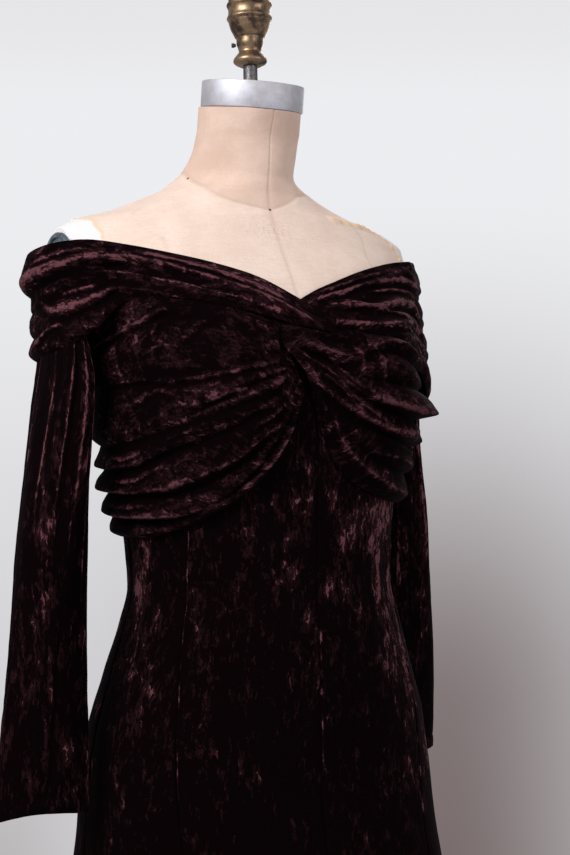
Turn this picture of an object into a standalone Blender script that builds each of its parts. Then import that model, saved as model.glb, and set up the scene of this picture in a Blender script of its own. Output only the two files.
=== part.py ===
"""Off-the-shoulder velvet dress with a twisted, draped bust, long sleeves and a gored skirt,
worn by a limbless dress form on a pole stand.

Metres, +Z up. The origin is on the floor under the middle of the stand's base.
The dress faces -Y; the wearer's right side is at -X.
"""

import math

import bpy
import numpy as np

# Cloth sizes
CLOTH = 0.0012            # body panels and sleeves
DRAPE_CLOTH = 0.0014      # draped bust and shoulder bands
SEAM_GAP = 0.0003         # between two panels at a seam
HEM_HEIGHT = 0.130        # skirt hem above the floor
PANEL_TOP = 1.268         # top of the fitted body, under the drape

# Dress form, from its lower end to the top of the neck
FORM_COLUMNS = ("height", "half_width", "front", "back")
FORM_SECTIONS = (
    (0.800, 0.168, 0.113, 0.114),
    (0.850, 0.170, 0.113, 0.116),
    (0.900, 0.166, 0.116, 0.112),
    (0.960, 0.150, 0.118, 0.094),
    (1.000, 0.137, 0.118, 0.078),
    (1.040, 0.1265, 0.115, 0.071),
    (1.080, 0.129, 0.117, 0.076),
    (1.130, 0.138, 0.119, 0.088),
    (1.180, 0.146, 0.120, 0.098),
    (1.230, 0.152, 0.119, 0.104),
    (1.280, 0.163, 0.110, 0.108),
    (1.320, 0.174, 0.092, 0.108),
    (1.350, 0.180, 0.074, 0.101),
    (1.370, 0.180, 0.062, 0.092),
    (1.385, 0.165, 0.054, 0.084),
    (1.400, 0.127, 0.047, 0.077),
    (1.414, 0.093, 0.044, 0.071),
    (1.426, 0.067, 0.044, 0.066),
    (1.438, 0.0550, 0.0455, 0.0595),
    (1.465, 0.0495, 0.0475, 0.0520),
    (1.4965, 0.0490, 0.0570, 0.0400),
)
FORM_SQUARENESS = 2.15     # 2 is an ellipse, more is squarer
ARMHOLE_PLANE = 0.186      # the form is cut flat here, where its arms would be
ARMHOLE_BACK = 0.030       # the armholes' middles lie this far behind the form's middle
# The shoulders: how far their ridge is swept back, and how far their caps stand out over the arms
SHOULDER_COLUMNS = ("height", "back", "cap")
SHOULDERS = (
    (1.294, 0.000, 0.000),
    (1.304, 0.000, 0.012),
    (1.320, 0.002, 0.020),
    (1.340, 0.006, 0.018),
    (1.365, 0.022, 0.014),
    (1.385, 0.034, 0.010),
    (1.400, 0.042, 0.000),
    (1.414, 0.046, 0.000),
    (1.426, 0.044, 0.000),
    (1.438, 0.028, 0.000),
    (1.455, 0.010, 0.000),
    (1.475, 0.000, 0.000),
)
NECK_LEAN = 10.5           # the top of the neck leans forward, degrees
NECK_LEAN_FROM = 1.420
BUST_POINT_X = 0.082
BUST_POINT_Z = 1.218
BUST_LIFT = 0.026
BUST_SPREAD_X = 0.046
BUST_SPREAD_UP = 0.062
BUST_SPREAD_DOWN = 0.050

# Room between the form and the outside of the dress, from the top of the body to the hem
EASE_COLUMNS = ("height", "side", "front", "back")
EASE = (
    (0.130, 0.122, 0.150, 0.140),
    (0.300, 0.092, 0.115, 0.108),
    (0.500, 0.062, 0.075, 0.070),
    (0.650, 0.040, 0.046, 0.044),
    (0.760, 0.021, 0.024, 0.024),
    (0.840, 0.0100, 0.0110, 0.0120),
    (0.900, 0.0060, 0.0060, 0.0060),
    (0.960, 0.0045, 0.0040, 0.0060),
    (1.040, 0.0045, 0.0035, 0.0060),
    (1.130, 0.0030, 0.0048, 0.0040),
    (1.200, 0.0026, 0.0034, 0.0028),
    (1.268, 0.0026, 0.0034, 0.0028),
)

# Bearing of the side-front seam, in degrees from the front, by height
SEAM_COLUMNS = ("height", "bearing")
PRINCESS_SEAM = (
    (0.130, 38.0),
    (0.770, 42.0),
    (0.900, 47.0),
    (1.040, 55.0),
    (1.120, 52.0),
    (1.268, 44.0),
)

# Soft flutes of the skirt: bearing, half width (degrees), height at the hem, top of the flute
FLUTE_COLUMNS = ("bearing", "half_width", "height", "top")
FLUTES = (
    (-158.0, 17.0, 0.026, 0.86),
    (-122.0, 15.0, 0.024, 0.80),
    (-88.0, 16.0, 0.030, 0.84),
    (-54.0, 13.0, 0.022, 0.78),
    (-22.0, 14.0, 0.026, 0.80),
    (10.0, 13.0, 0.024, 0.74),
    (40.0, 14.0, 0.028, 0.82),
    (74.0, 15.0, 0.024, 0.78),
    (108.0, 16.0, 0.028, 0.84),
    (142.0, 14.0, 0.024, 0.80),
    (172.0, 12.0, 0.020, 0.76),
)

PANEL_ROWS = (
    PANEL_TOP, 1.249, 1.230, 1.205, 1.180, 1.155, 1.130, 1.100, 1.070, 1.040, 1.000,
    0.960, 0.910, 0.855, 0.785, 0.700, 0.600, 0.490, 0.370, 0.250, HEM_HEIGHT,
)
PANEL_STEPS = 6
PANELS = (
    ("front", 0, 1),
    ("side_front", 1, 2),
    ("side_back", 2, 3),
    ("back", 3, 4),
)

# Draped bust. Each row is one fold line, from the twist round to the side, as pairs of bearing
# (degrees from the front) and height (mm). The right half runs on past the side seam.
FOLD_LINE_COLUMNS = ("bearing", "height_mm")
RIGHT_DRAPE_LINES = (
    (-10, 1288, -20, 1299, -35, 1308, -52, 1312, -70, 1303, -87, 1291, -98, 1283),
    (-10, 1267, -22, 1273, -38, 1282, -55, 1284, -73, 1275, -92, 1263, -106, 1256),
    (-10, 1256, -24, 1244, -39, 1236, -56, 1231, -76, 1229, -99, 1226, -116, 1224),
    (-9, 1247, -24, 1228, -38, 1211, -54, 1192, -74, 1177, -99, 1173, -116, 1176),
    (-8, 1239, -22, 1212, -36, 1192, -52, 1172, -73, 1154, -99, 1151, -116, 1154),
    (-7, 1232, -19, 1194, -32, 1155, -50, 1134, -72, 1129, -99, 1130, -116, 1132),
    (-6, 1226, -16, 1180, -28, 1141, -47, 1114, -71, 1107, -99, 1109, -116, 1110),
    (-5, 1220, -12, 1176, -24, 1136, -45, 1107, -70, 1091, -99, 1088, -116, 1088),
)
LEFT_DRAPE_LINES = (
    (-9, 1279, 4, 1282, 20, 1275, 38, 1267, 60, 1256, 90, 1252),
    (-12, 1267, 4, 1262, 20, 1255, 38, 1246, 63, 1239, 97, 1236),
    (-12, 1257, 2, 1246, 15, 1231, 34, 1223, 63, 1220, 101, 1216),
    (-9, 1247, 4, 1230, 17, 1210, 36, 1198, 65, 1192, 101, 1190),
    (-6, 1236, 5, 1215, 17, 1191, 37, 1175, 66, 1166, 101, 1164),
    (-4, 1226, 5, 1199, 15, 1167, 36, 1147, 66, 1140, 101, 1138),
    (-2, 1216, 1, 1180, 10, 1141, 33, 1119, 64, 1112, 101, 1110),
)
# Pleat height (m) between each fold line and the next, at equal steps from the twist to the side
RIGHT_PLEAT_COLUMNS = ("twist", "third", "two_thirds", "side")
RIGHT_PLEATS = (
    (0.002, 0.0029, 0.0023, 0.002),
    (0.002, 0.0046, 0.0038, 0.004),
    (0.003, 0.0047, 0.0062, 0.010),
    (0.003, 0.0064, 0.0088, 0.012),
    (0.003, 0.0072, 0.0092, 0.012),
    (0.003, 0.0072, 0.0090, 0.011),
    (0.003, 0.0056, 0.0068, 0.009),
)
LEFT_PLEAT_COLUMNS = ("twist", "quarter", "middle", "three_quarters", "side")
LEFT_PLEATS = (
    (0.003, 0.0045, 0.006, 0.0070, 0.008),
    (0.004, 0.0045, 0.005, 0.0075, 0.010),
    (0.004, 0.0060, 0.015, 0.0190, 0.012),
    (0.003, 0.0050, 0.010, 0.0120, 0.011),
    (0.003, 0.0045, 0.007, 0.0085, 0.008),
    (0.003, 0.0040, 0.005, 0.0060, 0.007),
)
PLEAT_CREST = 0.72         # where a pleat is highest, from its upper line to its lower one
PLEAT_SAMPLES = (0.0, 0.40, 0.80)
DRAPE_COLUMNS = 14
EDGE_REST = 0.0034         # outside of a drape above the panel where its edge is sewn down

# Height of each drape's outside above the body, from the twist to the side: share of the way, m
LIFT_COLUMNS = ("share", "height")
RIGHT_LIFT = ((0.0, 0.0034), (0.08, 0.0040), (0.21, 0.0060), (0.50, 0.0060), (0.90, 0.0052), (1.0, EDGE_REST))
LEFT_LIFT = ((0.0, 0.0075), (0.05, 0.0120), (0.15, 0.0110), (0.35, 0.0065), (0.85, 0.0052), (1.0, EDGE_REST))

# Shoulder bands on the chest: bearing, height and lift (mm) of the top edge, then of the bottom edge
CHEST_COLUMNS = ("top_bearing", "top_height_mm", "top_lift_mm", "bottom_bearing", "bottom_height_mm",
                 "bottom_lift_mm")
RIGHT_CHEST = (
    (6.0, 1281, 13.0, 4.5, 1267, 16.5),
    (-2.5, 1300, 8.0, -3.5, 1274, 15.0),
    (-12.0, 1322, 3.6, -13.0, 1282, 12.0),
    (-24.0, 1335, 3.0, -26.0, 1292, 10.0),
    (-38.0, 1345, 3.0, -41.0, 1302, 10.0),
    (-54.0, 1353.5, 3.0, -60.0, 1303, 8.7),
)
LEFT_CHEST = (
    (-5.0, 1297, 2.6, -4.0, 1284, 5.0),
    (3.0, 1311, 3.0, 3.0, 1280, 7.5),
    (10.0, 1320, 3.0, 12.0, 1275, 9.0),
    (22.0, 1333, 3.0, 24.0, 1268, 10.0),
    (37.0, 1344, 3.0, 40.0, 1262, 10.6),
    (53.0, 1350, 3.0, 60.0, 1249, 10.7),
)
# Shoulder bands round the arm and across the back: the top edge, then the bottom edge
ARM_COLUMNS = ("top_x", "top_y", "top_z", "bottom_x", "bottom_y", "bottom_z")
RIGHT_ARM = (
    (-0.184, -0.038, 1.3585, -0.184, -0.052, 1.278),
    (-0.207, -0.014, 1.3575, -0.2035, -0.024, 1.264),
    (-0.217, 0.018, 1.3535, -0.211, 0.016, 1.256),
    (-0.210, 0.052, 1.350, -0.206, 0.055, 1.254),
    (-0.185, 0.080, 1.346, -0.186, 0.085, 1.254),
    (-0.146, 0.0965, 1.342, -0.148, 0.1015, 1.255),
    (-0.100, 0.1060, 1.339, -0.104, 0.1110, 1.256),
    (-0.050, 0.1125, 1.337, -0.052, 0.1165, 1.257),
    (-0.00015, 0.1145, 1.336, -0.00015, 0.1180, 1.257),
)
LEFT_ARM = (
    (0.163, -0.040, 1.352, 0.171, -0.0545, 1.228),
    (0.1840, -0.014, 1.354, 0.1935, -0.024, 1.212),
    (0.2000, 0.020, 1.353, 0.209, 0.016, 1.210),
    (0.2030, 0.054, 1.350, 0.207, 0.056, 1.220),
    (0.1830, 0.082, 1.347, 0.186, 0.087, 1.238),
    (0.143, 0.0960, 1.342, 0.149, 0.1010, 1.252),
    (0.100, 0.1060, 1.339, 0.104, 0.1110, 1.256),
    (0.050, 0.1125, 1.337, 0.052, 0.1165, 1.257),
    (0.00015, 0.1145, 1.336, 0.00015, 0.1180, 1.257),
)
# Band folds: upper line and lower line as shares of the width, then height (m) at the twist end,
# on the arm and at the centre back
BAND_FOLD_COLUMNS = ("upper", "lower", "twist", "arm", "back")
RIGHT_BAND_FOLDS = (
    (0.00, 0.38, 0.0015, 0.0085, 0.0050),
    (0.38, 0.54, 0.0008, 0.0025, 0.0035),
    (0.54, 0.78, 0.0010, 0.0030, 0.0045),
    (0.78, 1.00, 0.0010, 0.0030, 0.0045),
)
LEFT_BAND_FOLDS = (
    (0.00, 0.24, 0.0005, 0.0050, 0.0045),
    (0.24, 0.48, 0.0005, 0.0040, 0.0045),
    (0.48, 0.74, 0.0005, 0.0045, 0.0045),
    (0.74, 1.00, 0.0005, 0.0045, 0.0045),
)
BAND_SAMPLES = (0.0, 0.45, 0.85)
BAND_COLUMNS = 28

# Sleeves, from the band down to the cuff: height, centre, half width across, half width fore and aft
SLEEVE_COLUMNS = ("height", "x", "y", "half_across", "half_fore_aft")
RIGHT_SLEEVE = (
    (0.853, -0.2330, -0.033, 0.042, 0.018),
    (0.900, -0.2300, -0.028, 0.041, 0.019),
    (0.990, -0.2220, -0.020, 0.036, 0.025),
    (1.090, -0.2130, -0.012, 0.030, 0.033),
    (1.165, -0.2030, -0.004, 0.025, 0.040),
    (1.210, -0.1955, 0.004, 0.021, 0.045),
    (1.245, -0.1912, 0.010, 0.0167, 0.046),
    (1.288, -0.1902, 0.016, 0.0128, 0.045),
)
LEFT_SLEEVE = (
    (0.826, 0.2210, 0.078, 0.040, 0.019),
    (0.870, 0.2195, 0.073, 0.039, 0.020),
    (0.970, 0.2140, 0.062, 0.036, 0.024),
    (1.080, 0.2045, 0.053, 0.029, 0.031),
    (1.140, 0.1965, 0.050, 0.023, 0.036),
    (1.200, 0.1892, 0.042, 0.0175, 0.039),
    (1.230, 0.1872, 0.038, 0.0147, 0.039),
    (1.262, 0.1860, 0.034, 0.0122, 0.038),
)
# Lengthwise folds of a sleeve: place round it in degrees, half width, height, lowest reach
SLEEVE_FOLD_COLUMNS = ("place", "half_width", "height", "reach")
SLEEVE_FOLDS = (
    (-75.0, 20.0, 0.0020, 0.96),
    (-20.0, 18.0, 0.0040, 1.02),
    (35.0, 18.0, 0.0045, 0.99),
    (85.0, 18.0, 0.0030, 1.08),
    (140.0, 20.0, 0.0045, 0.98),
    (-140.0, 20.0, 0.0040, 1.00),
)
SLEEVE_COUNT_AROUND = 22
SLEEVE_ROWS = 14

# Fittings of the form and its stand
FORM_AROUND = 36
FORM_RINGS = sorted({row[0] for row in FORM_SECTIONS + SHOULDERS} - {1.340})
ARM_PLATE_RADIUS = 0.0365
ARM_PLATE_THICKNESS = 0.005
# Middle of each arm plate: side, y, height
ARM_PLATE_COLUMNS = ("side", "y", "height")
ARM_PLATES = {"right": (-1, 0.0275, 1.3365), "left": (1, 0.0335, 1.3300)}
NECK_CAP = ((0.0488, 0.0), (0.0500, 0.0008), (0.0500, 0.0237), (0.0492, 0.0250))
ROD_RADIUS = 0.0070
ROD_Y = -0.0075
FINIAL_BOTTOM = 1.5403
# Turned finial: radius and height above its underside
FINIAL = (
    (0.0105, 0.0000), (0.0157, 0.0029), (0.0164, 0.0060), (0.0139, 0.0098), (0.0112, 0.0132),
    (0.0115, 0.0167), (0.0130, 0.0215), (0.0134, 0.0270), (0.0148, 0.0284), (0.0165, 0.0319),
    (0.0185, 0.0358), (0.0203, 0.0417), (0.0208, 0.0436), (0.0223, 0.0462), (0.0210, 0.0495),
    (0.0206, 0.0531), (0.0211, 0.0563), (0.0223, 0.0593), (0.0203, 0.0632), (0.0206, 0.0662),
    (0.0196, 0.0730), (0.0160, 0.0810), (0.0095, 0.0865), (0.0030, 0.0885),
)
SCREW_RADIUS = 0.0022
SCREW_LENGTH = 0.0045
SCREW_HEIGHT = 1.5610
SCREW_BEARING = -118.0
BOARD_THICKNESS = 0.012
BOARD_INSET = 0.985
POLE_RADIUS = 0.0160
SEAT = 0.0003              # between two seated pieces of the stand
BASE = ((0.204, 0.0), (0.210, 0.003), (0.210, 0.010), (0.202, 0.014), (0.070, 0.020), (0.040, 0.024))
COLLAR = ((0.0163, 0.0), (0.0320, 0.0), (0.0320, 0.006), (0.0270, 0.012), (0.0260, 0.040), (0.0163, 0.040))


def smooth(table, column, height):
    """A table's column at a height, on a smooth curve that never overshoots its rows."""
    rows = np.array(sorted(table), float)
    x = rows[:, 0]
    y = rows[:, column]
    step = np.diff(x)
    slope = np.diff(y) / step
    tangent = np.zeros(len(x))
    tangent[0] = slope[0]
    tangent[-1] = slope[-1]
    for i in range(1, len(x) - 1):
        if slope[i - 1] * slope[i] > 0:
            near = 2 * step[i] + step[i - 1]
            far = step[i] + 2 * step[i - 1]
            tangent[i] = (near + far) / (near / slope[i - 1] + far / slope[i])
    height = np.clip(np.asarray(height, float), x[0], x[-1])
    i = np.clip(np.searchsorted(x, height) - 1, 0, len(x) - 2)
    h = step[i]
    t = (height - x[i]) / h
    return (
        (2 * t**3 - 3 * t**2 + 1) * y[i]
        + (t**3 - 2 * t**2 + t) * h * tangent[i]
        + (-2 * t**3 + 3 * t**2) * y[i + 1]
        + (t**3 - t**2) * h * tangent[i + 1]
    )


def signed_power(value, power):
    return np.sign(value) * np.abs(value) ** power


def bust(x, z):
    """How far the two bust points stand out in front at x, z."""
    spread = np.where(z > BUST_POINT_Z, BUST_SPREAD_UP, BUST_SPREAD_DOWN)
    tall = np.exp(-(((z - BUST_POINT_Z) / spread) ** 2))
    left = np.exp(-(((x - BUST_POINT_X) / BUST_SPREAD_X) ** 2))
    right = np.exp(-(((x + BUST_POINT_X) / BUST_SPREAD_X) ** 2))
    return BUST_LIFT * tall * (left + right)


def torso(bearing, z, side=0.0, front=0.0, back=0.0):
    """Point on the dress form at a bearing (degrees from the front, + to the wearer's left), moved
    out by side, front and back."""
    angle = np.radians(bearing)
    z = np.asarray(z, float)
    power = 2 / FORM_SQUARENESS
    half_width = smooth(FORM_SECTIONS, 1, z) + side
    depth = np.where(
        np.cos(angle) > 0,
        smooth(FORM_SECTIONS, 2, z) + front,
        smooth(FORM_SECTIONS, 3, z) + back,
    )
    x = half_width * signed_power(np.sin(angle), power)
    y = -depth * signed_power(np.cos(angle), power)
    y = y - bust(x, z) * (np.cos(angle) > 0) * np.clip(np.cos(angle) * 3, 0, 1)
    return np.stack(np.broadcast_arrays(x, y, z), axis=-1)


def flute(bearing, z):
    """How far the skirt's flutes stand out at a bearing and height."""
    out = 0.0
    for centre, half_width, height, top in FLUTES:
        away = (bearing - centre + 180) % 360 - 180
        fall = np.clip((top - z) / (top - HEM_HEIGHT), 0, 1)
        out = out + height * fall**1.4 * np.exp(-((away / half_width) ** 2))
    return out - 0.010 * np.clip((0.80 - z) / (0.80 - HEM_HEIGHT), 0, 1)


def dress(bearing, z):
    """Point on the outside of the fitted body and skirt."""
    wave = flute(bearing, z)
    return torso(
        bearing,
        z,
        smooth(EASE, 1, z) + wave,
        smooth(EASE, 2, z) + wave,
        smooth(EASE, 3, z) + wave,
    )


def grid_normals(grid, closed=False):
    """Unit normals of a grid of points, along the cross product of its two directions."""
    if closed:
        across = np.roll(grid, -1, axis=1) - np.roll(grid, 1, axis=1)
    else:
        across = np.gradient(grid, axis=1)
    along = np.gradient(grid, axis=0)
    normal = np.cross(along, across)
    return normal / np.linalg.norm(normal, axis=2, keepdims=True)


def new_object(name, points, faces, material, smooth_angle=40.0):
    mesh = bpy.data.meshes.new(name)
    mesh.from_pydata([tuple(map(float, p)) for p in points], [], faces)
    mesh.validate()
    mesh.update()
    mesh.shade_smooth()
    mesh.set_sharp_from_angle(angle=math.radians(smooth_angle))
    mesh.materials.append(material)
    obj = bpy.data.objects.new(name, mesh)
    bpy.context.scene.collection.objects.link(obj)
    return obj


def wall(name, outer, thickness, material, closed=False, normals=None):
    """A cloth wall: the outer grid, and the same grid moved in along its normals. Normals point out
    where rows run down and columns run to the wearer's left in front."""
    rows, columns = outer.shape[:2]
    if normals is None:
        normals = grid_normals(outer, closed)
    inner = outer - normals * thickness
    points = np.concatenate([outer.reshape(-1, 3), inner.reshape(-1, 3)])
    half = rows * columns
    faces = []
    spans = columns if closed else columns - 1

    def index(r, c, layer):
        return layer * half + r * columns + c % columns

    for r in range(rows - 1):
        for c in range(spans):
            outside = [index(r, c, 0), index(r + 1, c, 0), index(r + 1, c + 1, 0), index(r, c + 1, 0)]
            inside = [index(r, c, 1), index(r, c + 1, 1), index(r + 1, c + 1, 1), index(r + 1, c, 1)]
            faces.append(outside)
            faces.append(inside)
    for c in range(spans):
        faces.append([index(0, c, 1), index(0, c, 0), index(0, c + 1, 0), index(0, c + 1, 1)])
        last = rows - 1
        faces.append([index(last, c, 0), index(last, c, 1), index(last, c + 1, 1), index(last, c + 1, 0)])
    if not closed:
        for r in range(rows - 1):
            faces.append([index(r, 0, 0), index(r, 0, 1), index(r + 1, 0, 1), index(r + 1, 0, 0)])
            end = columns - 1
            faces.append([index(r, end, 1), index(r, end, 0), index(r + 1, end, 0), index(r + 1, end, 1)])
    return new_object(name, points, faces, material)


def dress_normal(bearing, z):
    """Unit normal of the dress's outside at a bearing and height."""
    turn = 0.5
    rise = 0.002
    across = dress(bearing + turn, z) - dress(bearing - turn, z)
    up = dress(bearing, z + rise) - dress(bearing, z - rise)
    normal = np.cross(across, up)
    return normal / np.linalg.norm(normal, axis=-1, keepdims=True)


def spline(knots, places):
    """Catmull-Rom curve through equally spaced knots, read at places from 0 to 1."""
    knots = np.asarray(knots, float)
    padded = np.concatenate([[2 * knots[0] - knots[1]], knots, [2 * knots[-1] - knots[-2]]])
    along = np.asarray(places, float) * (len(knots) - 1)
    i = np.minimum(along.astype(int), len(knots) - 2)
    t = (along - i).reshape((-1,) + (1,) * (knots.ndim - 1))
    a, b, c, d = padded[i], padded[i + 1], padded[i + 2], padded[i + 3]
    return 0.5 * (
        2 * b
        + (c - a) * t
        + (2 * a - 5 * b + 4 * c - d) * t**2
        + (3 * b - a - 3 * c + d) * t**3
    )


def ramp(pairs, places):
    """Value at each place, eased between pairs of place and value."""
    pairs = np.array(pairs, float)
    i = np.clip(np.searchsorted(pairs[:, 0], places, side="right") - 1, 0, len(pairs) - 2)
    t = np.clip((places - pairs[i, 0]) / (pairs[i + 1, 0] - pairs[i, 0]), 0, 1)
    t = t * t * (3 - 2 * t)
    return pairs[i, 1] * (1 - t) + pairs[i + 1, 1] * t


def pleat(share):
    """Height of one pleat from its upper line (0) to its lower line (1): a slow rise, a quick fall."""
    rise = np.sin(np.clip(share / PLEAT_CREST, 0, 1) * math.pi / 2)
    fall = np.cos(np.clip((share - PLEAT_CREST) / (1 - PLEAT_CREST), 0, 1) * math.pi / 2)
    return np.where(share < PLEAT_CREST, rise, fall)


def pleat_rows(spans, samples):
    """For spans pleats, the rows' places as (which pleat, share of it), ending on the last line."""
    rows = [(k, share) for k in range(spans) for share in samples]
    return rows + [(spans - 1, 1.0)]


def drape(name, lines, pleats, lift, material):
    """A draped half of the bust: fold lines on the body, moved out by the lift and the pleats."""
    along = np.linspace(0, 1, DRAPE_COLUMNS + 1) ** 1.15
    knots = np.array(lines, float).reshape(len(lines), -1, 2)
    across = np.stack([spline(line, along) for line in knots])
    rows = pleat_rows(len(lines) - 1, PLEAT_SAMPLES)
    places = np.array([(k + share) / (len(lines) - 1) for k, share in rows])
    on_body = spline(across, places)
    bearing = on_body[..., 0]
    z = on_body[..., 1] / 1000
    out = np.tile(ramp(lift, along), (len(rows), 1))
    edge = np.clip(np.minimum(places / 0.10, (1 - places) / 0.05), 0, 1)[:, None]
    out = EDGE_REST + (out - EDGE_REST) * edge**2
    for r, (k, share) in enumerate(rows):
        height = spline(np.array(pleats[k], float), along)
        side_end = np.clip((1 - along) / 0.12, 0, 1)
        twist_end = np.clip(along / 0.12, 0, 1)
        out[r] += height * pleat(np.array(share)) * (0.25 + 0.75 * side_end) * (0.2 + 0.8 * twist_end)
    grid = dress(bearing, z) + dress_normal(bearing, z) * out[..., None]
    if knots[0, -1, 0] < knots[0, 0, 0]:
        grid = grid[:, ::-1]
    return wall(name, grid, DRAPE_CLOTH, material)


def on_dress(bearing, z, lift):
    """Points standing off the dress's outside by lift (m)."""
    return dress(bearing, z) + dress_normal(bearing, z) * lift[:, None]


def band(name, chest, arm, folds, material):
    """A shoulder band: from the twist across the chest, round the arm and over to the centre back."""
    chest = np.array(chest, float)
    arm = np.array(arm, float)
    top = on_dress(chest[:, 0], chest[:, 1] / 1000, chest[:, 2] / 1000)
    bottom = on_dress(chest[:, 3], chest[:, 4] / 1000, chest[:, 5] / 1000)
    along = np.linspace(0, 1, BAND_COLUMNS + 1)
    top = spline(np.concatenate([top, arm[:, :3]]), along)
    bottom = spline(np.concatenate([bottom, arm[:, 3:]]), along)
    rows = pleat_rows(len(folds), BAND_SAMPLES)
    width = np.array([folds[k][0] + share * (folds[k][1] - folds[k][0]) for k, share in rows])
    base = top + (bottom - top) * width[:, None, None]
    if arm[0, 0] < 0:
        base = base[:, ::-1]
        along = along[::-1]
    normal = grid_normals(base)
    out = np.zeros(base.shape[:2])
    for r, (k, share) in enumerate(rows):
        height = spline(np.array(folds[k][2:], float), along)
        out[r] = height * pleat(np.array(share))
    grid = base + normal * out[..., None]
    return wall(name, grid, DRAPE_CLOTH, material)


def seam_bearing(line, z):
    """Bearing of one of the five seams of a half: centre front, side front, side, side back, back."""
    princess = smooth(PRINCESS_SEAM, 1, z)
    return (0.0 * z, princess, 90.0 + 0.0 * z, 180.0 - princess, 180.0 + 0.0 * z)[line]


def panel(name, side, first, last, material):
    """One gore of the body, from the top edge to the hem. side is -1 for the wearer's right."""
    z = np.array(PANEL_ROWS)[:, None]
    share = np.linspace(0, 1, PANEL_STEPS + 1)[None, :]
    start = seam_bearing(first, z)
    end = seam_bearing(last, z)
    bearing = start + (end - start) * share
    if side < 0:
        bearing = -bearing[:, ::-1]
    z = np.broadcast_to(z, bearing.shape)
    grid = dress(bearing, z)
    for edge, towards in ((0, 1), (-1, -2)):
        step = grid[:, towards] - grid[:, edge]
        step /= np.linalg.norm(step, axis=1, keepdims=True)
        grid[:, edge] += step * SEAM_GAP / 2
    return wall(name, grid, CLOTH, material, normals=dress_normal(bearing, z))


def sleeve(name, table, material):
    """A straight sleeve hanging from the shoulder band, with soft lengthwise folds."""
    side = math.copysign(1.0, table[0][1])
    low = table[0][0]
    high = table[-1][0]
    z = np.linspace(high, low, SLEEVE_ROWS + 1)[:, None]
    place = np.arange(SLEEVE_COUNT_AROUND) * 360 / SLEEVE_COUNT_AROUND
    angle = np.radians(place)[None, :]
    swell = np.zeros((SLEEVE_ROWS + 1, SLEEVE_COUNT_AROUND))
    for centre, half_width, height, reach in SLEEVE_FOLDS:
        away = (place - centre * side + 180) % 360 - 180
        fade = np.clip((z - reach) / 0.12, 0, 1) * np.clip((high - z) / 0.05, 0, 1)
        swell = swell + height * fade * np.exp(-((away / half_width) ** 2))
    across = smooth(table, 3, z) + swell
    fore_aft = smooth(table, 4, z) + swell
    x = smooth(table, 1, z) + across * np.sin(angle)
    y = smooth(table, 2, z) - fore_aft * np.cos(angle)
    grid = np.stack(np.broadcast_arrays(x, y, z), axis=-1)
    return wall(name, grid, CLOTH, material, closed=True)


def material(name, colour, roughness, metallic=0.0):
    made = bpy.data.materials.new(name)
    made.use_nodes = True
    shader = made.node_tree.nodes["Principled BSDF"]
    shader.inputs["Base Color"].default_value = (*colour, 1.0)
    shader.inputs["Roughness"].default_value = roughness
    shader.inputs["Metallic"].default_value = metallic
    return made


def capped_rings(name, rings, made_of, smooth_angle=40.0):
    """A closed solid through rings of equal length, listed from the bottom up, each wound
    counter-clockwise seen from above."""
    count = len(rings[0])
    points = [p for ring in rings for p in ring]
    faces = [list(range(count))[::-1]]
    for r in range(len(rings) - 1):
        for c in range(count):
            n = (c + 1) % count
            faces.append([r * count + c, r * count + n, (r + 1) * count + n, (r + 1) * count + c])
    top = (len(rings) - 1) * count
    faces.append([top + c for c in range(count)])
    return new_object(name, points, faces, made_of, smooth_angle)


def turned(name, profile, made_of, around=24, smooth_angle=40.0):
    """A turned solid about its own +Z, from a profile of radius and height, bottom to top."""
    rings = []
    for radius, height in profile:
        ring = []
        for k in range(around):
            angle = 2 * math.pi * k / around
            ring.append((radius * math.cos(angle), radius * math.sin(angle), height))
        rings.append(ring)
    return capped_rings(name, rings, made_of, smooth_angle)


def neck_lean(points):
    """Tips the top of the neck forward."""
    blend = np.clip((points[:, 2] - NECK_LEAN_FROM) / (FORM_SECTIONS[-1][0] - NECK_LEAN_FROM), 0, 1)
    centre = (FORM_SECTIONS[-1][3] - FORM_SECTIONS[-1][2]) / 2
    points[:, 2] += math.tan(math.radians(NECK_LEAN)) * blend * (points[:, 1] - centre)
    return points


def shoulders(points, bearing):
    """Sweeps the shoulder ridge back, brings its caps out over the arms and cuts the armholes flat."""
    back = smooth(SHOULDERS, 1, points[:, 2]) * np.sin(np.radians(bearing)) ** 2
    cap = smooth(SHOULDERS, 2, points[:, 2])
    end = np.abs(np.sin(np.radians(bearing))) ** 8
    points[:, 0] += np.sign(points[:, 0]) * cap * end
    points[:, 1] += back + np.clip(cap / 0.016, 0, 1) * end * np.maximum(ARMHOLE_BACK - back, 0)
    points[:, 0] = np.clip(points[:, 0], -ARMHOLE_PLANE, ARMHOLE_PLANE)
    return points


def form_torso(canvas):
    """The torso: rings from the hip up to the top of the neck, flat at the armholes."""
    bearings = 360 * np.arange(FORM_AROUND) / FORM_AROUND
    rings = []
    for height in FORM_RINGS:
        ring = shoulders(torso(bearings, np.full(FORM_AROUND, height)), bearings)
        rings.append([tuple(p) for p in neck_lean(ring)])
    return capped_rings("form_torso", rings, canvas)


def arm_plate(word, made_of):
    """The round plate on an armhole."""
    side, back, height = ARM_PLATES[word]
    profile = ((ARM_PLATE_RADIUS, 0.0), (ARM_PLATE_RADIUS, ARM_PLATE_THICKNESS))
    plate = turned(f"arm_plate_{word}", profile, made_of)
    for vertex in plate.data.vertices:
        x, y, z = vertex.co
        vertex.co = (side * (ARMHOLE_PLANE + SEAT + z), back + side * x, height + y)
    return plate


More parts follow.
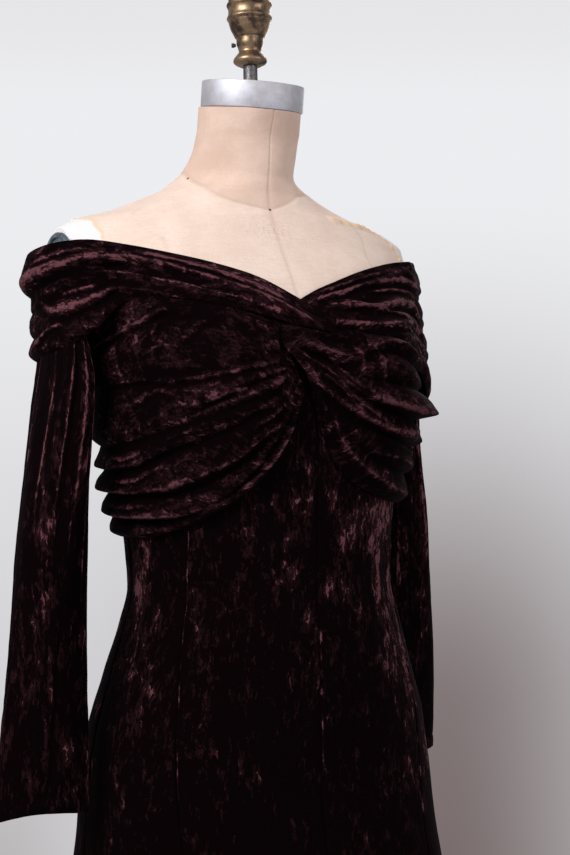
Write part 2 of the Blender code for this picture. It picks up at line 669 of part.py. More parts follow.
def place_on_neck(points):
    """Moves points given over the middle of the neck's flat top onto its leaning plane."""
    lean = math.radians(NECK_LEAN)
    centre = (FORM_SECTIONS[-1][3] - FORM_SECTIONS[-1][2]) / 2
    placed = []
    for x, y, z in points:
        z = z + SEAT
        placed.append((
            x,
            centre + y * math.cos(lean) - z * math.sin(lean),
            FORM_SECTIONS[-1][0] + y * math.sin(lean) + z * math.cos(lean),
        ))
    return placed


def neck_cap(made_of):
    cap = turned("neck_cap", NECK_CAP, made_of, around=32)
    for vertex, point in zip(cap.data.vertices, place_on_neck([v.co[:] for v in cap.data.vertices])):
        vertex.co = point
    return cap


def rod(made_of):
    """The short rod between the neck cap and the finial, cut to the cap's slope."""
    lean = math.radians(NECK_LEAN)
    (_, cap_y, cap_z), = place_on_neck([(0.0, 0.0, NECK_CAP[-1][1] + SEAT)])
    low = []
    high = []
    for k in range(16):
        angle = 2 * math.pi * k / 16
        x = ROD_RADIUS * math.cos(angle)
        y = ROD_Y + ROD_RADIUS * math.sin(angle)
        low.append((x, y, cap_z + math.tan(lean) * (y - cap_y)))
        high.append((x, y, FINIAL_BOTTOM - SEAT))
    return capped_rings("rod", [low, high], made_of)


def finial(made_of):
    piece = turned("finial", [(r, z + FINIAL_BOTTOM) for r, z in FINIAL], made_of, around=24)
    for vertex in piece.data.vertices:
        vertex.co.y += ROD_Y
    return piece


def finial_screw(made_of):
    piece = turned("finial_screw", ((SCREW_RADIUS, 0.0), (SCREW_RADIUS, SCREW_LENGTH)), made_of, around=12)
    turn = math.radians(SCREW_BEARING)
    start = FINIAL[6][0] + 2 * SEAT
    for vertex in piece.data.vertices:
        x, y, z = vertex.co
        out = start + z
        vertex.co = (
            math.sin(turn) * out + math.cos(turn) * x,
            ROD_Y - math.cos(turn) * out + math.sin(turn) * x,
            SCREW_HEIGHT + y,
        )
    return piece


def bottom_board(made_of):
    """The board that closes the torso's lower end, on top of the pole."""
    bearings = 360 * np.arange(FORM_AROUND) / FORM_AROUND
    top = FORM_SECTIONS[0][0] - SEAT
    rings = []
    for z in (top - BOARD_THICKNESS, top):
        ring = torso(bearings, np.full(FORM_AROUND, FORM_SECTIONS[0][0])) * (BOARD_INSET, BOARD_INSET, 0.0)
        ring[:, 2] = z
        rings.append([tuple(p) for p in ring])
    return capped_rings("bottom_board", rings, made_of)


def revolved(name, profile, lift, made_of, around=32):
    """A ring turned about +Z from a closed profile, wound counter-clockwise in radius and height."""
    count = len(profile)
    points = []
    for k in range(around):
        angle = 2 * math.pi * k / around
        for radius, height in profile:
            points.append((radius * math.cos(angle), radius * math.sin(angle), height + lift))
    faces = []
    for k in range(around):
        n = (k + 1) % around
        for i in range(count):
            j = (i + 1) % count
            faces.append([k * count + i, n * count + i, n * count + j, k * count + j])
    return new_object(name, points, faces, made_of)


def main():
    for obj in list(bpy.data.objects):
        bpy.data.objects.remove(obj)
    velvet = material("crushed_velvet", (0.055, 0.020, 0.024), 0.75)
    canvas = material("form_canvas", (0.72, 0.55, 0.40), 0.85)
    steel = material("brushed_metal", (0.62, 0.63, 0.66), 0.35, 1.0)
    brass = material("old_brass", (0.42, 0.31, 0.16), 0.4, 1.0)
    iron = material("black_iron", (0.05, 0.05, 0.05), 0.5, 0.6)
    plate_paint = material("slate_paint", (0.10, 0.13, 0.17), 0.5)
    plywood = material("plywood", (0.55, 0.42, 0.28), 0.7)

    form_torso(canvas)
    arm_plate("right", plate_paint)
    arm_plate("left", plate_paint)
    neck_cap(steel)
    rod(steel)
    finial(brass)
    finial_screw(iron)
    bottom_board(plywood)
    board_under = FORM_SECTIONS[0][0] - SEAT - BOARD_THICKNESS
    base_top = BASE[-1][1]
    turned("pole", ((POLE_RADIUS, base_top + SEAT), (POLE_RADIUS, board_under - SEAT)), iron)
    turned("stand_base", BASE, iron, around=48)
    revolved("pole_collar", COLLAR, base_top + SEAT, iron)

    for side, word in ((-1, "right"), (1, "left")):
        for part_name, first, last in PANELS:
            panel(f"{part_name}_{word}", side, first, last, velvet)
    sleeve("sleeve_right", RIGHT_SLEEVE, velvet)
    sleeve("sleeve_left", LEFT_SLEEVE, velvet)
    drape("drape_right", RIGHT_DRAPE_LINES, RIGHT_PLEATS, RIGHT_LIFT, velvet)
    drape("drape_left", LEFT_DRAPE_LINES, LEFT_PLEATS, LEFT_LIFT, velvet)
    band("band_right", RIGHT_CHEST, RIGHT_ARM, RIGHT_BAND_FOLDS, velvet)
    band("band_left", LEFT_CHEST, LEFT_ARM, LEFT_BAND_FOLDS, velvet)


if __name__ == "__main__":
    main()
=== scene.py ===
"""Off-the-shoulder crushed velvet dress with a twisted, draped bust, on a limbless dress form.

Metres, +Z up, the dress faces -Y and the wearer's right side is at -X. Bearings are in degrees from
the front, growing towards the wearer's left.
"""

import math

import bpy
import numpy as np
from mathutils import Matrix, Vector


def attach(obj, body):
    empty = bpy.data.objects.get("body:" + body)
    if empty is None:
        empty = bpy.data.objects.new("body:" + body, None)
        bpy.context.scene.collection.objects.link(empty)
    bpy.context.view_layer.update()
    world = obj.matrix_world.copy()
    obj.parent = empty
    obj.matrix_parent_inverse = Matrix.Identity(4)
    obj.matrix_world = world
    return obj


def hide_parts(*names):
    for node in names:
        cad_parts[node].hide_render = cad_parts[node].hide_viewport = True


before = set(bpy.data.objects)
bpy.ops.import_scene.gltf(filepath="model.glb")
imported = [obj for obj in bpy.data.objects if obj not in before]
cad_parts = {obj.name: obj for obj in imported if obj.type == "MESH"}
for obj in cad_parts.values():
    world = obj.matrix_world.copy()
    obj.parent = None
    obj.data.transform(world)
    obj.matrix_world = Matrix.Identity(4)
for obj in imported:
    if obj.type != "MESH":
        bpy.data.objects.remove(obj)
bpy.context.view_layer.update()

# Camera: the photograph's own viewpoint
VIEW_AZIMUTH = -28.0
VIEW_DISTANCE = 1.33
VIEW_HEIGHT = 1.188
VIEW_ROLL = 1.0
VIEW_LENS = 57.1
VIEW_SENSOR = 36.0
VIEW_SHIFT_X = 0.0374

# Cloth
VELVET = 0.0009
DRAPED_VELVET = 0.0010
SEAM_GAP = 0.00004
HEM_HEIGHT = 0.130
BODY_TOP = 1.268
WAIST = 1.02

# How finely it is drawn: a gore's rows lie closer above the hip than below it
HIP = 0.86
GORE_ROWS = (96, 100)
GORE_COLUMNS = 27
SLEEVE_ROWS = 190
SLEEVE_COLUMNS = 110
DRAPE_COLUMNS = 190
DRAPE_PLEAT_ROWS = 19
BAND_COLUMNS = 290
BAND_FOLD_ROWS = 21
CREASE_STEPS = 28

# Relief of the plain cloth: a seam's groove, the puckers beside it, ripples, fine crush
SEAM_GROOVE = 0.0011
SEAM_PUCKER = 0.0005
GORE_RIPPLE = 0.0012
SLEEVE_RIPPLE = 0.0011
FINE_CRUSH = 0.00035
# Relief of the draped cloth: streaks along its folds, fine crush
DRAPE_STREAK, DRAPE_CRUSH = 0.0010, 0.0005
BAND_STREAK, BAND_CRUSH = 0.0008, 0.0004
# The hem of a cuff: height of its stitches, how deep they draw in, how far the turned cloth stands out
CUFF_STITCHES, CUFF_DRAWN_IN, CUFF_TURNED = 0.015, 0.0008, 0.0004
# A crease: the share at each end over which it fades; its hollow's place and width in half widths of
# the ridge, and the hollow's depth as a share of the ridge; how wide the painted highlight on its top is
CREASE_FADE = 0.22
HOLLOW_PLACE, HOLLOW_WIDTH, HOLLOW_DEPTH = 1.75, 0.85, 0.65
CREASE_HIGHLIGHT = 0.0019

# Dress form, from its lower end to the top of the neck (mm): height, half width, front, back
FORM_SECTIONS = np.array((
    (800, 168, 113, 114), (850, 170, 113, 116), (900, 166, 116, 112), (960, 150, 118, 94),
    (1000, 137, 118, 78), (1040, 126.5, 115, 71), (1080, 129, 117, 76), (1130, 138, 119, 88),
    (1180, 146, 120, 98), (1230, 152, 119, 104), (1280, 163, 110, 108), (1320, 174, 92, 108),
    (1350, 180, 74, 101), (1370, 180, 62, 92), (1385, 165, 54, 84), (1400, 127, 47, 77), (1414, 93, 44, 71),
    (1426, 67, 44, 66), (1438, 55, 45.5, 59.5), (1465, 49.5, 47.5, 52), (1496.5, 49, 57, 40),
)) / 1000
FORM_SQUARENESS = 2.15
ARMHOLE_PLANE = 0.186
ARMHOLE_BACK = 0.030
# Shoulders (mm): height, how far the ridge is swept back, how far the caps stand out
SHOULDERS = np.array((
    (1294, 0, 0), (1304, 0, 12), (1320, 2, 20), (1340, 6, 18), (1365, 22, 14), (1385, 34, 10),
    (1400, 42, 0), (1414, 46, 0), (1426, 44, 0), (1438, 28, 0), (1455, 10, 0), (1475, 0, 0),
)) / 1000
NECK_LEAN = 10.5
NECK_LEAN_FROM = 1.420
BUST_POINT_X = 0.082
BUST_POINT_Z = 1.218
BUST_LIFT = 0.026
BUST_SPREAD_X = 0.046
BUST_SPREAD_UP = 0.062
BUST_SPREAD_DOWN = 0.050

# Room between the form and the outside of the dress: height, side, front, back
EASE = (
    (0.13, 0.122, 0.15, 0.14), (0.3, 0.092, 0.115, 0.108), (0.5, 0.062, 0.075, 0.07),
    (0.65, 0.04, 0.046, 0.044), (0.76, 0.021, 0.024, 0.024), (0.84, 0.01, 0.011, 0.012),
    (0.9, 0.006, 0.006, 0.006), (0.96, 0.0045, 0.004, 0.006), (1.04, 0.0045, 0.0035, 0.006),
    (1.13, 0.003, 0.0048, 0.004), (1.2, 0.0026, 0.0034, 0.0028), (1.268, 0.0026, 0.0034, 0.0028),
)

# Bearing of the side-front seam by height
SIDE_FRONT_SEAM = (
    (0.13, 38), (0.77, 42), (0.9, 47), (1.04, 55), (1.12, 52), (1.268, 44),
)

# Flutes of the skirt: bearing, half width in degrees, height at the hem, top of the flute
FLUTES = (
    (-158, 17, 0.026, 0.86), (-122, 15, 0.024, 0.8), (-88, 16, 0.03, 0.84), (-54, 13, 0.022, 0.78),
    (-22, 14, 0.026, 0.8), (10, 13, 0.024, 0.74), (40, 14, 0.028, 0.82), (74, 15, 0.024, 0.78),
    (108, 16, 0.028, 0.84), (142, 14, 0.024, 0.8), (172, 12, 0.02, 0.76),
)
# How far the cloth between the flutes falls in at the hem, and from which height
FLUTE_HOLLOW = 0.010
FLUTE_HOLLOW_TOP = 0.80

# Fold lines of the draped bust, from the twist round to the side: pairs of bearing and height (mm)
RIGHT_DRAPE_LINES = (
    (-10, 1288, -20, 1299, -35, 1308, -52, 1312, -70, 1303, -87, 1291, -98, 1283),
    (-10, 1267, -22, 1273, -38, 1282, -55, 1284, -73, 1275, -92, 1263, -106, 1256),
    (-10, 1256, -24, 1244, -39, 1236, -56, 1231, -76, 1229, -99, 1226, -116, 1224),
    (-9, 1247, -24, 1228, -38, 1211, -54, 1192, -74, 1177, -99, 1173, -116, 1176),
    (-8, 1239, -22, 1212, -36, 1192, -52, 1172, -73, 1154, -99, 1151, -116, 1154),
    (-7, 1232, -19, 1194, -32, 1155, -50, 1134, -72, 1129, -99, 1130, -116, 1132),
    (-6, 1226, -16, 1180, -28, 1141, -47, 1114, -71, 1107, -99, 1109, -116, 1110),
    (-5, 1220, -12, 1176, -24, 1136, -45, 1107, -70, 1091, -99, 1088, -116, 1088),
)
LEFT_DRAPE_LINES = (
    (-9, 1279, 4, 1282, 20, 1275, 38, 1267, 60, 1256, 90, 1252),
    (-12, 1267, 4, 1262, 20, 1255, 38, 1246, 63, 1239, 97, 1236),
    (-12, 1257, 2, 1246, 15, 1231, 34, 1223, 63, 1220, 101, 1216),
    (-9, 1247, 4, 1230, 17, 1210, 36, 1198, 65, 1192, 101, 1190),
    (-6, 1236, 5, 1215, 17, 1191, 37, 1175, 66, 1166, 101, 1164),
    (-4, 1226, 5, 1199, 15, 1167, 36, 1147, 66, 1140, 101, 1138),
    (-2, 1216, 1, 1180, 10, 1141, 33, 1119, 64, 1112, 101, 1110),
)
# Height of each pleat, at equal steps from the twist to the side
RIGHT_PLEATS = (
    (0.002, 0.0029, 0.0023, 0.002), (0.002, 0.0046, 0.0038, 0.004), (0.003, 0.0047, 0.0062, 0.01),
    (0.003, 0.0064, 0.0088, 0.012), (0.003, 0.0072, 0.0092, 0.012), (0.003, 0.0072, 0.009, 0.011),
    (0.003, 0.0056, 0.0068, 0.009),
)
LEFT_PLEATS = (
    (0.003, 0.0045, 0.006, 0.007, 0.008), (0.004, 0.0045, 0.005, 0.0075, 0.01),
    (0.004, 0.006, 0.015, 0.019, 0.012), (0.003, 0.005, 0.01, 0.012, 0.011),
    (0.003, 0.0045, 0.007, 0.0085, 0.008), (0.003, 0.004, 0.005, 0.006, 0.007),
)
# Where a pleat's crest lies between its lines, and the share at each end over which pleats flatten
PLEAT_CREST = 0.72
PLEAT_END = 0.12
# How far a drape stands off the body between its pleats, from the twist (0) to the side (1)
EDGE_REST = 0.0034
RIGHT_LIFT = ((0, 0.0034), (0.08, 0.004), (0.21, 0.006), (0.5, 0.006), (0.9, 0.0052), (1, EDGE_REST))
LEFT_LIFT = ((0, 0.0075), (0.05, 0.012), (0.15, 0.011), (0.35, 0.0065), (0.85, 0.0052), (1, EDGE_REST))

# Shoulder bands on the chest: bearing, height and lift (mm) of the top edge, then of the bottom edge
RIGHT_CHEST = (
    (6, 1281, 13, 4.5, 1267, 16.5), (-2.5, 1300, 8, -3.5, 1274, 15), (-12, 1322, 3.6, -13, 1282, 12),
    (-24, 1335, 3, -26, 1292, 10), (-38, 1345, 3, -41, 1302, 10), (-54, 1353.5, 3, -60, 1303, 8.7),
)
LEFT_CHEST = (
    (-5, 1297, 2.6, -4, 1284, 5), (3, 1311, 3, 3, 1280, 7.5), (10, 1320, 3, 12, 1275, 9),
    (22, 1333, 3, 24, 1268, 10), (37, 1344, 3, 40, 1262, 10.6), (53, 1350, 3, 60, 1249, 10.7),
)
# Shoulder bands round the arm and across the back (mm): top edge x, y, z, then bottom edge x, y, z
RIGHT_ARM = (
    (-184, -38, 1358.5, -184, -52, 1278), (-207, -14, 1357.5, -203.5, -24, 1264),
    (-217, 18, 1353.5, -211, 16, 1256), (-210, 52, 1350, -206, 55, 1254), (-185, 80, 1346, -186, 85, 1254),
    (-146, 96.5, 1342, -148, 101.5, 1255), (-100, 106, 1339, -104, 111, 1256),
    (-50, 112.5, 1337, -52, 116.5, 1257), (-0.15, 114.5, 1336, -0.15, 118, 1257),
)
LEFT_ARM = (
    (163, -40, 1352, 171, -54.5, 1228), (184, -14, 1354, 193.5, -24, 1212), (200, 20, 1353, 209, 16, 1210),
    (203, 54, 1350, 207, 56, 1220), (183, 82, 1347, 186, 87, 1238), (143, 96, 1342, 149, 101, 1252),
    (100, 106, 1339, 104, 111, 1256), (50, 112.5, 1337, 52, 116.5, 1257),
    (0.15, 114.5, 1336, 0.15, 118, 1257),
)
# Band folds: upper and lower line as shares of the width, height at the twist, arm and centre back
RIGHT_BAND_FOLDS = (
    (0, 0.38, 0.0015, 0.0085, 0.005), (0.38, 0.54, 0.0008, 0.0025, 0.0035),
    (0.54, 0.78, 0.001, 0.003, 0.0045), (0.78, 1, 0.001, 0.003, 0.0045),
)
LEFT_BAND_FOLDS = (
    (0, 0.24, 0.0005, 0.005, 0.0045), (0.24, 0.48, 0.0005, 0.004, 0.0045),
    (0.48, 0.74, 0.0005, 0.0045, 0.0045), (0.74, 1, 0.0005, 0.0045, 0.0045),
)
# Where a band lies closer to the arm: along, across, half length, half width (shares), depth
RIGHT_HOLLOWS = ((0.61, 0.47, 0.08, 0.10, 0.0040), (0.61, 0.74, 0.08, 0.14, 0.0035))
LEFT_HOLLOWS = ((0.45, 0.10, 0.08, 0.06, 0.0015),)
# Short gathers of a band over the arm: how many across the band, height, from, to (along the band)
RIGHT_GATHERS = (5, 0.0012, 0.38, 0.62)
LEFT_GATHERS = (8, 0.0022, 0.27, 0.60)

# Sleeves: height, centre x, y, half width across, half width fore and aft
RIGHT_SLEEVE = (
    (0.853, -0.233, -0.033, 0.042, 0.018), (0.9, -0.23, -0.028, 0.041, 0.019),
    (0.99, -0.222, -0.02, 0.036, 0.025), (1.09, -0.213, -0.012, 0.03, 0.033),
    (1.165, -0.203, -0.004, 0.025, 0.04), (1.21, -0.1955, 0.004, 0.021, 0.045),
    (1.245, -0.1912, 0.01, 0.0167, 0.046), (1.288, -0.1902, 0.016, 0.0128, 0.045),
)
LEFT_SLEEVE = (
    (0.826, 0.221, 0.078, 0.04, 0.019), (0.87, 0.2195, 0.073, 0.039, 0.02),
    (0.97, 0.214, 0.062, 0.036, 0.024), (1.08, 0.2045, 0.053, 0.029, 0.031),
    (1.14, 0.1965, 0.05, 0.023, 0.036), (1.2, 0.1892, 0.042, 0.0175, 0.039),
    (1.23, 0.1872, 0.038, 0.0147, 0.039), (1.262, 0.186, 0.034, 0.0122, 0.038),
)
# Lengthwise folds of a sleeve: place round it in degrees, half width, height, lowest reach
SLEEVE_FOLDS = (
    (-75, 20, 0.002, 0.96), (-20, 18, 0.004, 1.02), (35, 18, 0.0045, 0.99), (85, 18, 0.003, 1.08),
    (140, 20, 0.0045, 0.98), (-140, 20, 0.004, 1),
)
# Gathers where the sleeve leaves the band: place, half width, height, lowest reach
SLEEVE_GATHERS = (
    (-8, 4, 0.0018, 1.1), (12, 4.5, -0.0016, 1.06), (22, 4, 0.002, 1.12), (48, 5, -0.0018, 1.09),
    (60, 4, 0.0016, 1.14), (-36, 4.5, 0.0018, 1.05), (-52, 5, -0.0016, 1.08), (105, 5, 0.0018, 1.12),
    (122, 4, -0.0014, 1.16), (160, 5, 0.0016, 1.13), (-160, 5, -0.0016, 1.1), (-118, 4.5, 0.0016, 1.12),
    (-42, 20, 0.003, 1.13),
)

# Crushed places of the skirt: bearing, height (mm), half width in degrees, half height (mm), strength
# in hundredths
CRUSHED_PLACES = (
    (-77, 1082, 5, 12, 30), (-75, 1064, 5, 10, 34), (-84.5, 1044, 5, 12, 28), (-81, 1024, 4, 12, 30),
    (-79, 1003, 3.5, 8, 24), (-86, 976, 5, 12, 30), (-75.5, 966, 3.5, 8, 26), (-71, 875, 5, 18, 26),
    (-65.5, 850, 5, 14, 24), (-18, 1119, 5, 12, 20), (-6, 1116, 4, 12, 18), (-9, 1093, 3, 10, 20),
    (-18, 1083, 3, 8, 16), (-9, 1061, 3, 10, 16), (-2, 1004, 2.6, 16, 26), (0.5, 955, 2.4, 20, 26),
    (-18.3, 915, 3, 10, 20), (-18, 880, 3, 10, 20), (28, 1096, 6, 32, 29), (33.5, 1045, 6, 34, 29),
    (37, 992, 5.5, 34, 27), (46, 962, 5.5, 34, 29), (47, 908, 5.5, 34, 27), (5.5, 1118, 3, 12, 28),
    (11, 1082, 3, 12, 24), (5, 1044, 2.5, 14, 24), (2.5, 868, 3.5, 22, 24), (4, 922, 2.6, 24, 24),
    (-7, 836, 4, 12, 22), (-38, 960, 3, 30, 14), (43, 1100, 5, 20, 36), (50, 1030, 4, 24, 36),
    (58, 870, 4, 30, 36), (-93, 1090, 5, 14, 34), (-97, 1052, 5, 12, 32), (-99, 1000, 5, 16, 30),
    (-94, 925, 5, 22, 32), (-90, 885, 5, 16, 28), (62, 1060, 5, 16, 30), (88, 1010, 6, 16, 28),
    (104, 1100, 6, 14, 32), (118, 960, 5, 20, 26), (146, 1090, 5, 16, 30), (160, 1020, 5, 18, 30),
    (176, 1120, 5, 14, 34), (-172, 960, 4, 22, 26), (-158, 1080, 5, 16, 32), (-140, 1000, 5, 20, 28),
    (-122, 1080, 6, 14, 32), (-106, 990, 5, 18, 28), (134, 850, 5, 22, 26), (-132, 860, 5, 22, 26),
    (92, 830, 5, 22, 24), (22, 850, 3, 18, 26), (36, 862, 3, 22, 28), (46, 838, 4, 20, 28),
)
# Painted sheen and painted shade round the skirt, from top to hem, that show more or less of its crushed
# pile: bearing, width, strength
PAINTED_SHEEN_SIDES = (
    (-28, 18, -0.045), (32, 16, 0.085), (62, 12, 0.15), (118, 14, 0.05), (160, 14, -0.03), (-150, 16, 0.05),
    (-112, 12, 0.03),
)
# Soft vertical creases of the body: bearing at the top, at the bottom, heights, half width, depth
BODY_CREASES = (
    (14, 17, 1.15, 0.9, 0.004, 0.0016), (-62, -70, 1.105, 0.96, 0.005, 0.0018),
    (-72, -84, 1.095, 0.985, 0.0045, 0.0016), (-50, -58, 1.085, 0.93, 0.005, 0.0012),
    (34, 40, 1.115, 0.96, 0.0045, 0.0015), (44, 47, 1.11, 0.99, 0.004, 0.0018),
    (54, 58, 1.105, 0.95, 0.0045, 0.0018), (66, 68, 1.11, 0.97, 0.005, 0.0016),
    (150, 146, 1.18, 0.96, 0.006, 0.0016), (-146, -150, 1.19, 0.95, 0.006, 0.0015),
    (122, 118, 1.12, 0.94, 0.005, 0.0016), (-120, -116, 1.13, 0.95, 0.005, 0.0016),
)

# Creases of the drapes and bands: half width and height (mm), then pairs of along (0 at the twist, 100
# at the side or centre back) and across (0 at the top edge, 100 at the bottom edge)
RIGHT_DRAPE_CREASES = (
    (3, 2.6, 81, 15, 76, 15, 61, 15, 53, 14, 45, 12, 39, 9), (2.2, 2.2, 81, 13, 79, 18, 77, 24),
    (3, 2.2, 44, 21, 39, 20, 34, 17, 26, 12), (2.6, 1.8, 50, 20, 47, 16, 44, 14),
    (2.4, 2.6, 84, 22, 78, 28, 66, 28, 56, 28, 48, 29, 30, 30, 16, 32, 2, 36),
    (3, 2, 67, 35, 58, 33, 51, 31, 45, 34), (4, 2.6, 82, 42, 67, 42, 47, 43, 26, 46, 11, 51, 2, 56),
    (4, 2.4, 82, 56, 59, 55, 33, 57, 20, 57, 5, 66),
    (3.6, 2.6, 82, 66, 69, 69, 42, 68, 30, 69, 20, 72, 7, 84),
    (4, 2.6, 82, 84, 66, 82, 42, 87, 21, 93, 8, 94), (2.2, 1.6, 74, 47, 66, 50, 60, 48),
    (2.2, 1.6, 76, 61, 67, 63, 60, 61, 52, 62), (2.4, 1.8, 78, 76, 71, 77, 62, 75),
    (2, 1.5, 54, 50, 46, 50, 39, 52), (2, 1.5, 38, 40, 29, 41, 20, 44), (2, 1.4, 25, 62, 17, 66, 8, 74),
    (1.8, 1.4, 18, 40, 10, 43, 3, 48),
)
LEFT_DRAPE_CREASES = (
    (5, 3, 4, 16, 12, 24, 22, 26, 33, 22, 49, 8, 81, 9), (3, 3.4, 37, 45.5, 50, 45.5, 62, 45.2, 73, 45.5),
    (4.5, 2.4, 0, 40, 2, 71, 16, 74, 38, 64, 92, 61), (3.6, 2.2, 3, 38, 7, 69, 24, 67, 60, 58, 99, 49),
    (4.5, 2.6, 10, 72, 21, 90, 38, 90, 60, 93, 78, 96), (3.2, 2.6, 34, 14, 42, 20, 46, 28, 50, 40),
    (2.6, 2, 28, 17, 36, 24, 40, 34), (1.3, 1.1, 2, 30, 14, 42, 30, 52, 52, 60),
    (1.3, 1, 18, 30, 30, 36, 44, 44), (2.6, 1.8, 10, 50, 24, 55, 34, 53),
    (2.4, 1.8, 44, 80, 56, 76, 70, 78), (2.4, 1.8, 40, 72, 52, 69, 66, 70, 84, 72),
    (2, 1.6, 6, 84, 14, 93, 24, 97),
)
RIGHT_BAND_CREASES = (
    (6.5, 4.6, 64, 28, 59, 27, 51, 26, 42, 22, 32, 32, 22, 50, 10, 67, 1, 84),
    (6, 3.6, 64, 36, 59, 34, 53, 40, 42, 37, 33, 60, 26, 76, 17, 79, 8, 97),
    (5, 2.8, 60, 46, 56, 48, 50, 66, 40, 67, 33, 88, 27, 100), (3, 2.4, 60, 86, 57, 84, 54, 79, 49, 78),
    (2.4, 1.8, 56, 14, 49, 12, 42, 10), (2.2, 1.4, 36, 16, 28, 20, 18, 30, 8, 46),
    (2.2, 1.6, 50, 52, 44, 52, 38, 56),
)
LEFT_BAND_CREASES = (
    (3.2, 2.4, 3, 22, 15, 25, 23, 22, 37, 22, 46, 20),
    (4.2, 3.2, 5, 51, 17, 50, 20, 60, 27, 50, 35, 45, 44, 44), (2.4, 1.8, 12, 52, 19, 57, 27, 64, 32, 63),
    (4.2, 3, 5, 92, 16, 92, 25, 81, 37, 58), (1.8, 1.4, 6, 10, 16, 12, 28, 9),
    (2, 1.6, 20, 36, 28, 34, 36, 33), (2, 1.6, 22, 90, 30, 80, 40, 76),
)

# Fittings
ARM_PLATE_RADIUS = 0.0365
ARM_PLATE_THICKNESS = 0.005
# Middle of each arm plate: side, y, height
ARM_PLATES = {"right": (-1, 0.0275, 1.3365), "left": (1, 0.0335, 1.3300)}
NECK_CAP_RADIUS = 0.0500
NECK_CAP_HEIGHT = 0.0250
ROD_RADIUS = 0.0070
ROD_Y = -0.0075
FINIAL_BOTTOM = 1.5403
FINIAL = (
    (0.0105, 0), (0.0157, 0.0029), (0.0164, 0.006), (0.0139, 0.0098), (0.0112, 0.0132), (0.0115, 0.0167),
    (0.013, 0.0215), (0.0134, 0.027), (0.0148, 0.0284), (0.0165, 0.0319), (0.0185, 0.0358),
    (0.0203, 0.0417), (0.0208, 0.0436), (0.0223, 0.0462), (0.021, 0.0495), (0.0206, 0.0531),
    (0.0211, 0.0563), (0.0223, 0.0593), (0.0203, 0.0632), (0.0206, 0.0662), (0.0196, 0.073), (0.016, 0.081),
    (0.0095, 0.0865), (0.003, 0.0885),
)
# The ring of the finial that the set screw goes into
SCREW_RING = 6
SCREW_RADIUS = 0.0022
SCREW_LENGTH = 0.0045
SCREW_HEIGHT = 1.5610
SCREW_BEARING = -118.0
BOARD_THICKNESS = 0.012
BOARD_INSET = 0.985
BOARD_POINTS = 96
POLE_RADIUS = 0.0160
SEAT = 0.0003
BASE_TOP = 0.024


# Shares, curves and noise


def bell(distance, half_width=1.0):
    """1 at no distance, falling off smoothly to either side."""
    return np.exp(-((distance / half_width) ** 2))


def portion(value, span=1.0):
    """Value over span, held between 0 and 1."""
    return np.clip(value / span, 0, 1)


def eased(t):
    return t * t * (3 - 2 * t)


def between(a, b, t):
    return a * (1 - t) + b * t


def off(bearing, centre):
    """Degrees from centre round to bearing, from -180 to 180."""
    return (bearing - centre + 180) % 360 - 180


def unit(vectors):
    return vectors / np.linalg.norm(vectors, axis=-1, keepdims=True)


def smooth(table, column, height):
    """A table's column at a height, on a smooth curve that never overshoots its rows."""
    x, y = np.array(table, float)[:, [0, column]].T
    step = np.diff(x)
    slope = np.diff(y) / step
    tangent = np.zeros(len(x))
    tangent[[0, -1]] = slope[[0, -1]]
    for i in range(1, len(x) - 1):
        if slope[i - 1] * slope[i] > 0:
            near = 2 * step[i] + step[i - 1]
            far = step[i] + 2 * step[i - 1]
            tangent[i] = (near + far) / (near / slope[i - 1] + far / slope[i])
    height = np.clip(np.asarray(height, float), x[0], x[-1])
    i = np.clip(np.searchsorted(x, height) - 1, 0, len(x) - 2)
    h = step[i]
    t = (height - x[i]) / h
    return (
        (2 * t**3 - 3 * t**2 + 1) * y[i]
        + (t**3 - 2 * t**2 + t) * h * tangent[i]
        + (-2 * t**3 + 3 * t**2) * y[i + 1]
        + (t**3 - t**2) * h * tangent[i + 1]
    )


def spline(knots, places):
    """Catmull-Rom curve through equally spaced knots, read at places from 0 to 1."""
    knots = np.asarray(knots, float)
    padded = np.concatenate([[2 * knots[0] - knots[1]], knots, [2 * knots[-1] - knots[-2]]])
    along = np.asarray(places, float) * (len(knots) - 1)
    i = np.minimum(along.astype(int), len(knots) - 2)
    t = (along - i).reshape((-1,) + (1,) * (knots.ndim - 1))
    a, b, c, d = padded[i], padded[i + 1], padded[i + 2], padded[i + 3]
    return 0.5 * (
        2 * b
        + (c - a) * t
        + (2 * a - 5 * b + 4 * c - d) * t**2
        + (3 * b - a - 3 * c + d) * t**3
    )


def ramp(pairs, places):
    """Value at each place, eased between pairs of place and value."""
    at, value = np.array(pairs, float).T
    i = np.clip(np.searchsorted(at, places, side="right") - 1, 0, len(at) - 2)
    return between(value[i], value[i + 1], eased(portion(places - at[i], at[i + 1] - at[i])))


def lattice(i, j, seed):
    """A fixed value from -1 to 1 for each cell of a lattice."""
    h = (i.astype(np.int64) * 374761393 + j.astype(np.int64) * 668265263 + seed * 362437) & 0x7FFFFFFF
    h = ((h ^ (h >> 13)) * 1274126177) & 0x7FFFFFFF
    h = (h ^ (h >> 16)) & 0xFFFF
    return h / 32767.5 - 1


def noise(u, v, seed):
    """Smooth noise from -1 to 1 with one wave or so per unit of u and v."""
    i = np.floor(u)
    j = np.floor(v)
    a = eased(u - i)
    low = between(lattice(i, j, seed), lattice(i + 1, j, seed), a)
    high = between(lattice(i, j + 1, seed), lattice(i + 1, j + 1, seed), a)
    return between(low, high, eased(v - j))


def rumple(u, v, seed):
    """Noise with two finer and weaker waves laid over it."""
    total = 0.0
    for k in range(3):
        total = total + noise(u * 2.03**k, v * 2.03**k, seed + 17 * k) / 1.9**k
    return total / 1.6


# The form and the fitted dress round it


def rounded(value):
    """A sine or cosine bent towards the form's slightly square outline."""
    return np.sign(value) * np.abs(value) ** (2 / FORM_SQUARENESS)


